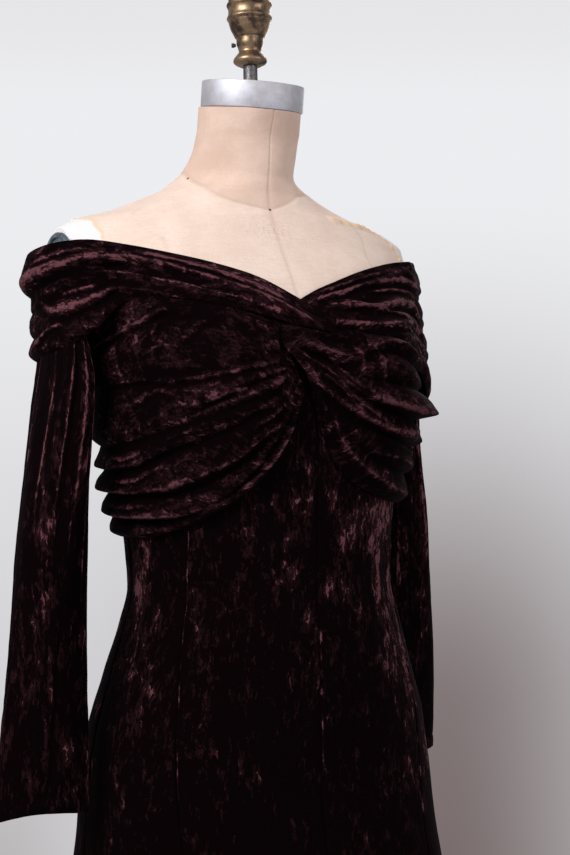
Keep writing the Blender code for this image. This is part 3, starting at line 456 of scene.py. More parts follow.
def bust(x, z):
    """How far the two bust points stand out in front at x, z."""
    spread = np.where(z > BUST_POINT_Z, BUST_SPREAD_UP, BUST_SPREAD_DOWN)
    beside = bell(x - BUST_POINT_X, BUST_SPREAD_X) + bell(x + BUST_POINT_X, BUST_SPREAD_X)
    return BUST_LIFT * bell(z - BUST_POINT_Z, spread) * beside


def torso(bearing, z, side=0.0, front=0.0, back=0.0):
    """Points on the dress form at a bearing and height, moved out by side, front and back."""
    angle = np.radians(bearing)
    z = np.asarray(z, float)
    ahead = np.cos(angle)
    width, before, behind = (smooth(FORM_SECTIONS, column, z) for column in (1, 2, 3))
    x = (width + side) * rounded(np.sin(angle))
    y = -np.where(ahead > 0, before + front, behind + back) * rounded(ahead)
    y = y - bust(x, z) * portion(ahead * 3)
    return np.stack(np.broadcast_arrays(x, y, z), axis=-1)


def flute(bearing, z):
    """How far the skirt's flutes stand out at a bearing and height."""
    out = 0.0
    for centre, half_width, height, top in FLUTES:
        fall = portion(top - z, top - HEM_HEIGHT) ** 1.4
        out = out + height * fall * bell(off(bearing, centre), half_width)
    return out - FLUTE_HOLLOW * portion(FLUTE_HOLLOW_TOP - z, FLUTE_HOLLOW_TOP - HEM_HEIGHT)


def dress(bearing, z):
    """Points on the outside of the fitted body and skirt."""
    wave = flute(bearing, z)
    return torso(bearing, z, *(smooth(EASE, column, z) + wave for column in (1, 2, 3)))


def dress_normal(bearing, z):
    """Unit normals of the dress's outside at a bearing and height."""
    across = dress(bearing + 0.5, z) - dress(bearing - 0.5, z)
    up = dress(bearing, z + 0.002) - dress(bearing, z - 0.002)
    return unit(np.cross(across, up))


# Mesh making


def grid_normals(grid, closed=False):
    """Unit normals of a grid of points, along the cross product of its two directions."""
    if closed:
        across = np.roll(grid, -1, axis=1) - np.roll(grid, 1, axis=1)
    else:
        across = np.gradient(grid, axis=1)
    return unit(np.cross(np.gradient(grid, axis=0), across))


def quads(grid):
    """The four corners of each cell of a grid, in the order of a face."""
    corners = np.stack([grid[:-1, :-1], grid[1:, :-1], grid[1:, 1:], grid[:-1, 1:]], axis=2)
    return corners.reshape((-1, 4) + grid.shape[2:])


def lengths(grid, axis):
    """Distance along a grid's rows or columns, in metres, from its first point."""
    total = np.cumsum(np.linalg.norm(np.diff(grid, axis=axis), axis=-1), axis=axis)
    start = np.zeros_like(np.take(total, [0], axis=axis))
    return np.concatenate([start, total], axis=axis)


def new_object(name, data):
    made = bpy.data.objects.new(name, data)
    bpy.context.scene.collection.objects.link(made)
    return made


def new_piece(name, points, faces, made_of, smooth_angle=60.0):
    mesh = bpy.data.meshes.new(name)
    mesh.from_pydata(np.asarray(points).tolist(), [], faces)
    mesh.update()
    mesh.shade_smooth()
    mesh.set_sharp_from_angle(angle=math.radians(smooth_angle))
    for surface in made_of:
        mesh.materials.append(surface)
    return new_object(name, mesh)


def stands_for(piece, slot, *nodes):
    """The piece rides on the one body and replaces its CAD nodes, which it hides; slot is not used."""
    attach(piece, "root")
    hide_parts(*nodes)
    return piece


def point_values(piece, **layers):
    for key, value in layers.items():
        layer = piece.data.attributes.new(key, "FLOAT", "POINT")
        layer.data.foreach_set("value", np.ascontiguousarray(value, dtype=float).ravel())


def rim(edge, first, second):
    """Faces along one edge of a cloth, across its thickness. first and second are 0 on the pile's side."""
    start, end = edge[:-1], edge[1:]
    return np.stack([start + first, start + second, end + second, end + first], 1)


def cloth(node_name, outer, thickness, crest, flow, crush,
          closed=False, normals=None, offset=0.0, lay=1.0):
    """A shell of velvet: pile outside, plain backing inside. Rows run down and columns run to the
    wearer's left in front. flow is "down" where the pile runs down, "across" where it runs along
    the rows. The cloth map holds metres across the pile, then along it, times crush: how closely
    the pile was crushed either way. crest is where the crushed pile shows, with the painted
    highlights and painted shade that the callers add to it; the last argument is painted shade
    that dims the crushed patches."""
    rows, columns = outer.shape[:2]
    if normals is None:
        normals = grid_normals(outer, closed)
    points = np.concatenate([outer, outer - normals * thickness]).reshape(-1, 3)
    half = rows * columns
    index = np.arange(half).reshape(rows, columns)
    if closed:
        index = np.concatenate([index, index[:, :1]], axis=1)
        outer = np.concatenate([outer, outer[:, :1]], axis=1)
    outside = quads(index)
    rims = [np.stack([rim(index[0], half, 0), rim(index[-1], 0, half)], 1).reshape(-1, 4)]
    if not closed:
        sides = (rim(index[:, 0], 0, half), rim(index[:, -1], half, 0))
        rims.append(np.stack(sides, 1).reshape(-1, 4))
    faces = np.concatenate([outside, outside[:, ::-1] + half, *rims]).tolist()
    piece = new_piece(f"{node_name}_velvet", points, faces, (velvet, backing), 75.0)
    mesh = piece.data

    # map in metres: the middle column and the first row are straight
    across = lengths(outer, 1)
    across = across - across[:, [across.shape[1] // 2]]
    down = lengths(outer, 0)
    u, v = (across, -down) if flow == "down" else (-down, across)
    corners = quads(np.stack([u * crush[0] + offset, v * crush[1]], axis=-1))
    values = np.zeros((len(mesh.loops), 2))
    values[: 2 * 4 * len(corners)] = np.concatenate([corners, corners[:, ::-1]]).reshape(-1, 2)
    mesh.uv_layers.new(name="cloth").data.foreach_set("uv", values.ravel())

    crest_values, patch_shade_values = (
        np.tile(np.broadcast_to(np.clip(layer, 0, 1), (rows, columns)), (2, 1)) for layer in (crest, lay)
    )
    point_values(piece, crest=crest_values, lay=patch_shade_values)
    slots = np.zeros(len(faces), np.int32)
    slots[len(outside) : 2 * len(outside)] = 1
    mesh.polygons.foreach_set("material_index", slots)
    mesh.update()
    stands_for(piece, "crushed_velvet", node_name)
    return piece


# Folds and creases


def pleat(share):
    """Height of one pleat from its upper line (0) to its lower line (1): a slow rise, a quick fall."""
    rise = np.sin(portion(share, PLEAT_CREST) * math.pi / 2)
    fall = np.cos(portion(share - PLEAT_CREST, 1 - PLEAT_CREST) * math.pi / 2)
    return np.where(share < PLEAT_CREST, rise, fall)


def pleat_places(count, samples):
    """Rows across count pleats: which pleat, and the share of it."""
    rows = [(k, share) for k in range(count) for share in np.arange(samples) / samples]
    return rows + [(count - 1, 1.0)]


def pleated(rows, heights, along, strong, varied, seed):
    """Relief of pleats on the rows of pleat_places. strong scales it along the pleats. varied says how
    much their height wavers, how quickly along one, and how far apart neighbours waver."""
    much, quick, apart = varied
    relief = []
    for k, share in rows:
        waver = 1 + much * noise(along * quick + k * apart, k, seed)
        relief.append(spline(heights[k], along) * strong * waver * pleat(share))
    return np.array(relief)


def at_places(grid, row, column):
    """Points of a grid at fractional rows and columns."""
    i = np.clip(row.astype(int), 0, grid.shape[0] - 2)
    j = np.clip(column.astype(int), 0, grid.shape[1] - 2)
    b = (column - j)[:, None]
    top = between(grid[i, j], grid[i, j + 1], b)
    low = between(grid[i + 1, j], grid[i + 1, j + 1], b)
    return between(top, low, (row - i)[:, None])


def off_track(points, track):
    """Distance of points from a line through places, and how far along it (0 to 1) it is nearest."""
    nearest = np.full(points.shape[:-1], 1e9)
    where = np.zeros(points.shape[:-1])
    for k, (start, end) in enumerate(zip(track[:-1], track[1:])):
        step = end - start
        t = portion((points - start) @ step, max(float(step @ step), 1e-12))
        away = np.linalg.norm(points - start - t[..., None] * step, axis=-1)
        where = np.where(away < nearest, (k + t) / (len(track) - 1), where)
        nearest = np.minimum(away, nearest)
    return nearest, where


def creases(base, along, across, table):
    """Listed creases, each a raised ridge with a hollow close under it. Gives their relief and the
    painted light on them: a painted highlight of 1 along a ridge's top, painted shade of less than
    nothing in its hollow."""
    relief, bright, dark = np.zeros((3, *base.shape[:2]))
    steps = np.linspace(0, 1, CREASE_STEPS)
    for half_width, height, *pairs in table:
        line = spline(np.array(pairs).reshape(-1, 2) / 100, steps)
        row = np.interp(line[:, 1], across, np.arange(len(across)))
        column = np.interp(line[:, 0], along, np.arange(len(along)))
        distance, where = off_track(base, at_places(base, row, column))
        below = np.sign(across[:, None] - np.interp(where, steps, line[:, 1]))
        signed = distance * below / (half_width / 1000)
        taper = eased(portion(np.minimum(where, 1 - where), CREASE_FADE))
        ridge = bell(signed)
        hollow = bell(signed - HOLLOW_PLACE, HOLLOW_WIDTH)
        relief += height / 1000 * taper * (ridge - HOLLOW_DEPTH * hollow)
        bright = np.maximum(bright, taper * np.maximum(bell(distance, CREASE_HIGHLIGHT), 0.35 * ridge))
        dark = np.maximum(dark, taper * hollow)
    return relief, bright - 0.6 * dark


def relative(relief, reach):
    """Relief against its own average over some rows above and below."""
    padded = np.pad(relief, ((reach, reach), (0, 0)), mode="edge")
    total = np.cumsum(np.pad(padded, ((1, 0), (0, 0))), axis=0)
    window = 2 * reach + 1
    return relief - (total[window:] - total[:-window]) / window


def crush_and_fold_highlight(relief, base, on_folds, most):
    """Where the crushed pile of a draped piece shows: a base everywhere and a painted highlight on the tops
    of its folds.
    """
    return np.minimum(base + on_folds * relative(relief, 9), most)


def dimmed_facing_up(grid, most, on_top):
    """Painted shade on the crushed patches: they show at most, and are dimmed on faces that look up."""
    return most * (1 - on_top * portion(grid_normals(grid)[..., 2] + 0.15))


# Materials


def new_material(name):
    made = bpy.data.materials.new(name)
    made.use_nodes = True
    return made, made.node_tree, made.node_tree.nodes["Principled BSDF"]


def put(tree, value, socket):
    """Fills a socket with another node's output, a number, a vector or a colour."""
    if isinstance(value, bpy.types.NodeSocket):
        tree.links.new(value, socket)
    elif socket.type == "RGBA":
        socket.default_value = (*value, 1.0)
    else:
        socket.default_value = value


def fill(tree, made, values):
    for key, value in values.items():
        put(tree, value, made.inputs[key])


def node(tree, kind, **values):
    """A node with its settings and named inputs filled in."""
    made = tree.nodes.new(kind)
    for key, value in values.items():
        if key in made.inputs:
            put(tree, value, made.inputs[key])
        else:
            setattr(made, key, value)
    return made


VECTOR_MATHS = "ShaderNodeVectorMath"


def maths(tree, operation, *values, kind="ShaderNodeMath", output="Value"):
    made = node(tree, kind, operation=operation)
    for value, socket in zip(values, made.inputs):
        put(tree, value, socket)
    return made.outputs[output]


def times(tree, a, b):
    return maths(tree, "MULTIPLY", a, b)


def plus(tree, a, b):
    return maths(tree, "ADD", a, b)


def weighted(tree, *terms):
    """Sum of each value, less a half, times its weight."""
    total = None
    for value, weight in terms:
        term = times(tree, maths(tree, "SUBTRACT", value, 0.5), weight)
        total = term if total is None else plus(tree, total, term)
    return total


def remap(tree, value, low, high, to_low=0.0, to_high=1.0, ease="SMOOTHSTEP"):
    made = node(tree, "ShaderNodeMapRange", interpolation_type=ease, Value=value)
    fill(tree, made, {"From Min": low, "From Max": high, "To Min": to_low, "To Max": to_high})
    return made.outputs["Result"]


def mix_colour(tree, factor, a, b):
    return node(tree, "ShaderNodeMix", data_type="RGBA", Factor=factor, A=a, B=b).outputs["Result"]


def texture(tree, vector, scale, detail, roughness, output="Fac"):
    """Noise at one scale, or at its own scale along each of three axes."""
    if isinstance(scale, tuple):
        vector = node(tree, "ShaderNodeMapping", Vector=vector, Scale=scale).outputs["Vector"]
        scale = 1.0
    made = node(tree, "ShaderNodeTexNoise", Vector=vector, Scale=scale, Detail=detail, Roughness=roughness)
    return made.outputs[output]


def attribute(tree, name):
    return node(tree, "ShaderNodeAttribute", attribute_name=name).outputs["Fac"]


def position(tree):
    return node(tree, "ShaderNodeNewGeometry").outputs["Position"]


def cloth_map(tree):
    return node(tree, "ShaderNodeUVMap", uv_map="cloth").outputs["UV"]


def raise_surface(tree, shader, height, strength, distance):
    """Small relief that a height gives the surface."""
    made = node(tree, "ShaderNodeBump", Strength=strength, Distance=distance, Height=height)
    put(tree, made.outputs["Normal"], shader.inputs["Normal"])


def new_group(name, inputs, outputs):
    """A node group with named sockets: (name, kind, value or None), then float outputs. Gives the
    group, what it is given and the node that takes its results."""
    group = bpy.data.node_groups.new(name, "ShaderNodeTree")
    for socket_name, kind, value in inputs:
        socket = group.interface.new_socket(socket_name, in_out="INPUT", socket_type=kind)
        if value is not None:
            socket.default_value = value
    for socket_name in outputs:
        group.interface.new_socket(socket_name, in_out="OUTPUT", socket_type="NodeSocketFloat")
    given = group.nodes.new("NodeGroupInput").outputs
    return group, given, group.nodes.new("NodeGroupOutput")


def crushed_nap_group():
    """Where the pile lies flat and catches the light, how bright it is there, and its small height."""
    group, given, results = new_group(
        "crushed_nap",
        (("Cloth", "NodeSocketVector", None), ("Crest", "NodeSocketFloat", 0.5)),
        ("Flat pile and painted sheen", "Half tone", "Streak", "Height"),
    )
    straight = given["Cloth"]
    # the outlines of the crushed patches wander and fork
    wander = texture(group, straight, 130.0, 3.0, 0.60, "Color")
    shift = (0.008, 0.018, 0.0)
    moved = maths(group, "MULTIPLY_ADD", wander, shift, straight, kind=VECTOR_MATHS, output="Vector")
    large = texture(group, straight, (14.0, 9.0, 1.0), 2.0, 0.5)
    broad = texture(group, moved, (52.0, 27.0, 1.0), 3.0, 0.60)
    patch = texture(group, moved, (135.0, 70.0, 1.0), 5.0, 0.66)
    shard = texture(group, moved, (400.0, 160.0, 1.0), 3.0, 0.60)
    tuft = texture(group, straight, (1250.0, 300.0, 1.0), 3.0, 0.6)
    crest = given["Crest"]
    # the crest input moves the flat pile towards painted highlights and away from painted shade
    total = weighted(
        group, (large, 0.26), (broad, 0.42), (patch, 0.60), (shard, 0.46), (tuft, 0.20), (crest, 0.40)
    )
    streak = weighted(group, (shard, 1.6), (tuft, 1.2), (patch, 1.2), (broad, 0.4))
    fill(group, results, {
        "Flat pile and painted sheen": remap(group, total, 0.042, 0.100),
        "Half tone": remap(group, total, -0.085, 0.020),
        "Streak": remap(group, streak, -0.28, 0.28),
        "Height": weighted(group, (tuft, 0.3), (shard, 0.7), (patch, 1.0), (broad, 1.2)),
    })
    return group


def velvet_material():
    """Nearly black pile, mauve where it is crushed flat. The crest attribute moves the mauve towards
    painted highlights and away from painted shade, and a second attribute dims it with painted shade.
    """
    made, tree, shader = new_material("crushed_velvet")
    crest = attribute(tree, "crest")
    nap = node(tree, "ShaderNodeGroup", node_tree=crushed_nap, Cloth=cloth_map(tree), Crest=crest).outputs
    ground = mix_colour(tree, nap["Half tone"], (0.0019, 0.0004, 0.0008), (0.0120, 0.0040, 0.0055))
    patch = mix_colour(tree, nap["Streak"], (0.046, 0.016, 0.020), (0.115, 0.043, 0.053))
    shown = times(tree, nap["Flat pile and painted sheen"], attribute(tree, "lay"))
    fill(tree, shader, {
        "Base Color": mix_colour(tree, shown, ground, patch),
        "Roughness": remap(tree, nap["Flat pile and painted sheen"], 0.0, 1.0, 0.85, 0.55, "LINEAR"),
        "Specular IOR Level": 0.018,
        "Sheen Weight": 0.025,
        "Sheen Roughness": 0.35,
        "Sheen Tint": (0.30, 0.09, 0.13),
    })
    raise_surface(tree, shader, nap["Height"], 0.60, 0.0010)
    return made


def backing_material():
    """The knitted back of the velvet: dull, with fine ribs."""
    made, tree, shader = new_material("velvet_backing")
    place = cloth_map(tree)
    mottle = texture(tree, place, 60.0, 3.0, 0.6)
    fill(tree, shader, {
        "Base Color": mix_colour(tree, mottle, (0.006, 0.0025, 0.003), (0.016, 0.006, 0.008)),
        "Roughness": 0.9,
        "Specular IOR Level": 0.06,
    })
    raise_surface(tree, shader, texture(tree, place, (900.0, 60.0, 1.0), 2.0, 0.5), 0.4, 0.0004)
    return made


def weave_group():
    """Threads crossing at right angles, with slubs, and the cloth's mottling and foxed speckle."""
    group, given, results = new_group(
        "linen_weave", (("Place", "NodeSocketVector", None),), ("Height", "Mottle", "Speckle")
    )
    place = given["Place"]
    warp = texture(group, place, (900.0, 900.0, 60.0), 2.0, 0.6)
    weft = texture(group, place, (70.0, 70.0, 1100.0), 2.0, 0.6)
    fill(group, results, {
        "Height": plus(group, warp, weft),
        "Mottle": texture(group, place, 26.0, 5.0, 0.65),
        "Speckle": texture(group, place, 420.0, 4.0, 0.75),
    })
    return group


def linen_material():
    """The form's linen: cream, a little pinker on the neck, torn at the shoulders, foxed in places."""
    made, tree, shader = new_material("form_linen")
    place = position(tree)
    weave = node(tree, "ShaderNodeGroup", node_tree=linen_weave, Place=place).outputs
    mottle = remap(tree, weave["Mottle"], 0.35, 0.68)
    chest = mix_colour(tree, mottle, (0.715, 0.570, 0.495), (0.775, 0.640, 0.565))
    neck = mix_colour(tree, mottle, (0.610, 0.445, 0.370), (0.690, 0.525, 0.450))
    colour = mix_colour(tree, attribute(tree, "neck"), chest, neck)
    foxed = plus(tree, weave["Speckle"], times(tree, attribute(tree, "fox"), 0.16))
    # laid over it in turn: threads, slubs, bare cloth, torn edges, foxed spots, seams and pin heads
    coats = [
        (remap(tree, weave["Height"], 0.75, 1.25, 0.0, 0.26, "LINEAR"), (0.52, 0.38, 0.30)),
        (remap(tree, weave["Speckle"], 0.40, 0.66, 0.0, 0.14, "LINEAR"), (0.54, 0.40, 0.33)),
        (attribute(tree, "bare"), (0.70, 0.69, 0.70)),
        (times(tree, attribute(tree, "torn"), 0.75), (0.72, 0.49, 0.29)),
        (times(tree, remap(tree, foxed, 0.62, 0.80), 0.45), (0.46, 0.28, 0.20)),
        (times(tree, attribute(tree, "seam"), 0.60), (0.40, 0.27, 0.20)),
    ]
    for pin in PINS:
        away = maths(tree, "DISTANCE", place, pin, kind=VECTOR_MATHS)
        coats.append((remap(tree, away, 0.0019, 0.0010), (0.06, 0.045, 0.04)))
    for shown, coat in coats:
        colour = mix_colour(tree, shown, colour, coat)
    fill(tree, shader, {"Base Color": colour, "Roughness": 0.85, "Specular IOR Level": 0.15})
    raise_surface(tree, shader, weave["Height"], 0.45, 0.0004)
    return made


def wear_group():
    """Fine scratches and patches of wear on metal."""
    group, given, results = new_group(
        "metal_wear",
        (("Place", "NodeSocketVector", None), ("Fineness", "NodeSocketFloat", 120.0)),
        ("Patches", "Scratches"),
    )
    fill(group, results, {
        "Patches": texture(group, given["Place"], given["Fineness"], 6.0, 0.65),
        "Scratches": texture(group, given["Place"], (30.0, 30.0, 2600.0), 3.0, 0.6),
    })
    return group


def metal_material(name, clean, worn, roughness, fineness, metallic=1.0, patch_at=(0.42, 0.62)):
    made, tree, shader = new_material(name)
    place = position(tree)
    wear = node(tree, "ShaderNodeGroup", node_tree=metal_wear, Place=place, Fineness=fineness).outputs
    fill(tree, shader, {
        "Base Color": mix_colour(tree, remap(tree, wear["Patches"], *patch_at), clean, worn),
        "Roughness": remap(tree, wear["Patches"], 0.3, 0.7, *roughness, "LINEAR"),
        "Metallic": metallic,
    })
    raise_surface(tree, shader, wear["Scratches"], 0.25, 0.0002)
    return made


def board_material():
    made, tree, shader = new_material("board_wood")
    grain = texture(tree, position(tree), (14.0, 150.0, 150.0), 5.0, 0.6)
    colour = mix_colour(tree, remap(tree, grain, 0.35, 0.65), (0.42, 0.30, 0.18), (0.60, 0.46, 0.30))
    fill(tree, shader, {"Base Color": colour, "Roughness": 0.7})
    raise_surface(tree, shader, grain, 0.3, 0.0003)
    return made


# Pin heads in the form's neckline
PINS = ((-0.0575, 0.0177, 1.4312), (-0.0039, -0.0494, 1.3940))
crushed_nap = crushed_nap_group()
linen_weave = weave_group()
metal_wear = wear_group()
velvet = velvet_material()
backing = backing_material()
linen = linen_material()
steel = metal_material("brushed_metal", (0.58, 0.59, 0.65), (0.52, 0.51, 0.54), (0.60, 0.72), 40.0)
rod_steel = metal_material("rod_steel", (0.17, 0.16, 0.165), (0.07, 0.065, 0.07), (0.38, 0.60), 700.0)
brass = metal_material("old_brass", (0.315, 0.215, 0.135), (0.060, 0.043, 0.034), (0.34, 0.52), 60.0,
                       patch_at=(0.42, 0.64))
iron = metal_material("black_iron", (0.022, 0.022, 0.024), (0.045, 0.043, 0.042), (0.42, 0.65), 60.0, 0.4)
slate = metal_material("slate_paint", (0.13, 0.18, 0.22), (0.06, 0.075, 0.09), (0.35, 0.60), 160.0, 0.5)
board_wood = board_material()


# The dress


def gore(name, side, line, seed):
    """One gore of the body, from under the drapes to the hem. line is the seam it starts from, counted
    from the centre front (0) to the side back (3). side is -1 for the wearer's right."""
    above = np.linspace(BODY_TOP, HIP, GORE_ROWS[0])[:-1]
    z = np.concatenate([above, np.linspace(HIP, HEM_HEIGHT, GORE_ROWS[1])])[:, None]
    near_seam = np.array([0.0, 0.006, 0.013, 0.024, 0.042])
    places = np.concatenate([near_seam, np.linspace(0.065, 0.935, GORE_COLUMNS), 1 - near_seam[::-1]])
    side_front = smooth(SIDE_FRONT_SEAM, 1, z)
    seams = (0.0, side_front, 90.0, 180.0 - side_front, 180.0)
    bearing = seams[line] + (seams[line + 1] - seams[line]) * places
    if side < 0:
        bearing = -bearing[:, ::-1]
    z = np.broadcast_to(z, bearing.shape)
    grid = dress(bearing, z)
    for edge, towards in ((0, 1), (-1, -2)):
        grid[:, edge] += unit(grid[:, towards] - grid[:, edge]) * SEAM_GAP / 2
    normals = dress_normal(bearing, z)
    across = lengths(grid, 1)
    to_seam = np.minimum(across, across[:, [-1]] - across)
    inner = portion(to_seam, 0.02)
    stitched = -SEAM_GROOVE * bell(to_seam, 0.0014)
    pucker = SEAM_PUCKER * bell(to_seam, 0.009) * noise(z * 70, seed, seed + 5)
    # the cloth hangs looser from the waist down
    loose = np.clip((WAIST - z) / 0.3, 0.3, 1.0)
    ripple = GORE_RIPPLE * loose * rumple(across * 26 + seed, z * 8, seed) * inner
    fine = FINE_CRUSH * rumple(across * 120 + seed, z * 55, seed + 9) * inner
    raised = np.zeros_like(across)
    for top_bearing, low_bearing, top, low, half_width, depth in BODY_CREASES:
        t = (top - z) / (top - low)
        reach = portion(t, 0.2) * portion(1 - t, 0.5)
        centre = top_bearing + (low_bearing - top_bearing) * t + 1.5 * np.sin(t * 5 + top_bearing)
        raised += depth * reach * bell(np.radians(off(bearing, centre)) * 0.13, half_width)
    crushed = np.zeros_like(across)
    for centre, height, half_width, half_height, strength in CRUSHED_PLACES:
        beside = bell(off(bearing, centre), half_width)
        crushed += strength / 100 * beside * bell(z - height / 1000, half_height / 1000)
    # painted sheen and painted shade by bearing
    for centre, half_width, strength in PAINTED_SHEEN_SIDES:
        crushed += strength * bell(off(bearing, centre), half_width)
    out = stitched + pucker + ripple + fine + raised
    grid = grid + normals * out[..., None]
    # the crushed pile shows in the crushed places, with painted highlights on creases and ripples, painted
    # sheen and shade by bearing, and painted shade that darkens it from the hip down
    shade = 0.16 * portion(WAIST - z, 0.22)
    crest = 0.25 - shade + 1.03 * crushed + 70 * raised + 100 * ripple * inner + 240 * fine
    # painted shade along each seam's groove, and a painted highlight in dashes on the seam's flattened
    # edge, which catches the light
    dashes = portion(0.35 + 0.9 * noise(z * 95, seed, seed + 3))
    crest = crest - 0.12 * bell(to_seam, 0.004) + 0.75 * dashes * bell(across - 0.0015, 0.0008)
    return cloth(name, grid, VELVET, crest, "down", (1.0, 0.80),
                 normals=normals, offset=seed * 0.7)


def sleeve(name, table, seed):
    """A straight sleeve hanging from the shoulder band, gathered under it, flat at the cuff."""
    side = math.copysign(1.0, table[0][1])
    low = table[0][0]
    high = table[-1][0]
    z = np.linspace(high, low, SLEEVE_ROWS)[:, None]
    place = (np.arange(SLEEVE_COLUMNS) * 360 / SLEEVE_COLUMNS)[None, :]
    angle = np.radians(place)
    swell, lines = np.zeros((2, SLEEVE_ROWS, SLEEVE_COLUMNS))
    for centre, half_width, height, reach in SLEEVE_FOLDS + SLEEVE_GATHERS:
        away = off(place + 4.0 * noise(z * 14, centre, seed), centre * side)
        fade = portion(z - reach, 0.12) * portion(high - z, 0.05)
        swell += height * fade * bell(away, half_width)
        if 0 < height and half_width < 6:
            drawn = portion(z - reach + 0.06, 0.06) * portion(high - z, 0.03)
            lines = np.maximum(lines, drawn * bell(away, 1.9))
    below = portion(high - z, 0.05)
    ripple = SLEEVE_RIPPLE * rumple(place / 24, z * 13, seed + 3) * below
    fine = FINE_CRUSH * rumple(place / 6, z * 60, seed + 8) * below
    stitches = CUFF_DRAWN_IN * bell(z - low - CUFF_STITCHES, 0.0013)
    hem = CUFF_TURNED * bell(z - low - 0.007, 0.005) - stitches
    swell = swell + ripple + fine + hem
    x = smooth(table, 1, z) + (smooth(table, 3, z) + swell) * np.sin(angle)
    y = smooth(table, 2, z) - (smooth(table, 4, z) + swell) * np.cos(angle)
    cuff = 0.0035 * np.sin(angle * 2 + seed) * portion(low + 0.05 - z, 0.05)
    grid = np.stack(np.broadcast_arrays(x, y, z + cuff), axis=-1)
    # painted shade on the upper sleeve; painted highlights on its raised folds, gathers and ripples, and
    # painted shade in their hollows
    shade = 0.14 * portion(z - 0.98, 0.10)
    crest = 0.36 - shade + 55 * (swell - 0.0015) + 90 * ripple + 260 * fine + 0.50 * lines
    return cloth(name, grid, VELVET, crest, "down", (1.0, 0.60),
                 closed=True, offset=seed * 0.9)


def facing(right, *grids):
    """Grids with their columns running to the wearer's left in front, turned round on the right."""
    return [grid[:, ::-1] if right else grid for grid in grids]


def drape(name, lines, pleats, lift, table, calm, pile, corner, seed):
    """A draped half of the bust: pleats that run from the twist round to the side. calm is how much
    of its pleats' height is left near the twist. pile is how much of its crushed pile shows
    everywhere, how much painted highlight its fold tops get, and how bright painted shade leaves
    its crushed patches, which it dims more on faces that look up. corner is how far its upper
    corner at the twist is tucked round and up under the band."""
    along = np.linspace(0, 1, DRAPE_COLUMNS) ** 1.1
    knots = np.array(lines, float).reshape(len(lines), -1, 2)
    spans = len(lines) - 1
    rows = pleat_places(spans, DRAPE_PLEAT_ROWS)
    places = np.array([(k + share) / spans for k, share in rows])
    on_body = spline(np.stack([spline(line, along) for line in knots]), places)
    tucked = portion(1 - places / PLEAT_END)[:, None] * bell(along, 0.07)
    bearing = on_body[..., 0] + corner[0] * tucked
    z = on_body[..., 1] / 1000 + corner[1] * tucked
    edge = portion(np.minimum(places / 0.10, (1 - places) / 0.05))[:, None]
    strong = calm + (1 - calm) * ramp(((0.25, 0.0), (0.60, 1.0)), along)
    to_side, to_twist = portion(1 - along, PLEAT_END), portion(along, PLEAT_END)
    strong = strong * (0.25 + 0.75 * to_side) * (0.2 + 0.8 * to_twist)
    pleating = pleated(rows, pleats, along, strong, (0.30, 7, 3.1), seed)
    base = dress(bearing, z)
    down = lengths(base, 0)
    far = lengths(base, 1)
    folds, painted_fold_light = creases(base, along, places, table)
    streak = DRAPE_STREAK * rumple(down * 95, far * 14, seed + 1)
    fine = DRAPE_CRUSH * rumple(down * 210, far * 70, seed + 2)
    drawn = streak * (0.5 + 0.9 * bell(along, 0.25)) + fine
    relief = pleating + folds * portion(edge * 1.5) + drawn * edge
    out = EDGE_REST + (ramp(lift, along) - EDGE_REST) * edge**2 + relief
    grid = base + dress_normal(bearing, z) * out[..., None]
    grid, relief, painted_fold_light = facing(knots[0, -1, 0] < knots[0, 0, 0], grid, relief, painted_fold_light)
    # painted highlights on the fold tops and crease ridges, painted shade in the crease hollows, and
    # painted shade that dims the crushed patches, more on faces that look up
    everywhere, on_folds, flat = pile
    crest = crush_and_fold_highlight(relief, everywhere, on_folds, 0.56) + 0.26 * painted_fold_light
    return cloth(name, grid, DRAPED_VELVET, crest, "across", (0.9, 1.3),
                 offset=seed * 0.6, lay=dimmed_facing_up(grid, flat, 0.60))


def on_dress(bearing, height, lift):
    """Points off the dress's outside, from their bearing, height and lift (mm)."""
    z = height / 1000
    return dress(bearing, z) + dress_normal(bearing, z) * (lift / 1000)[:, None]


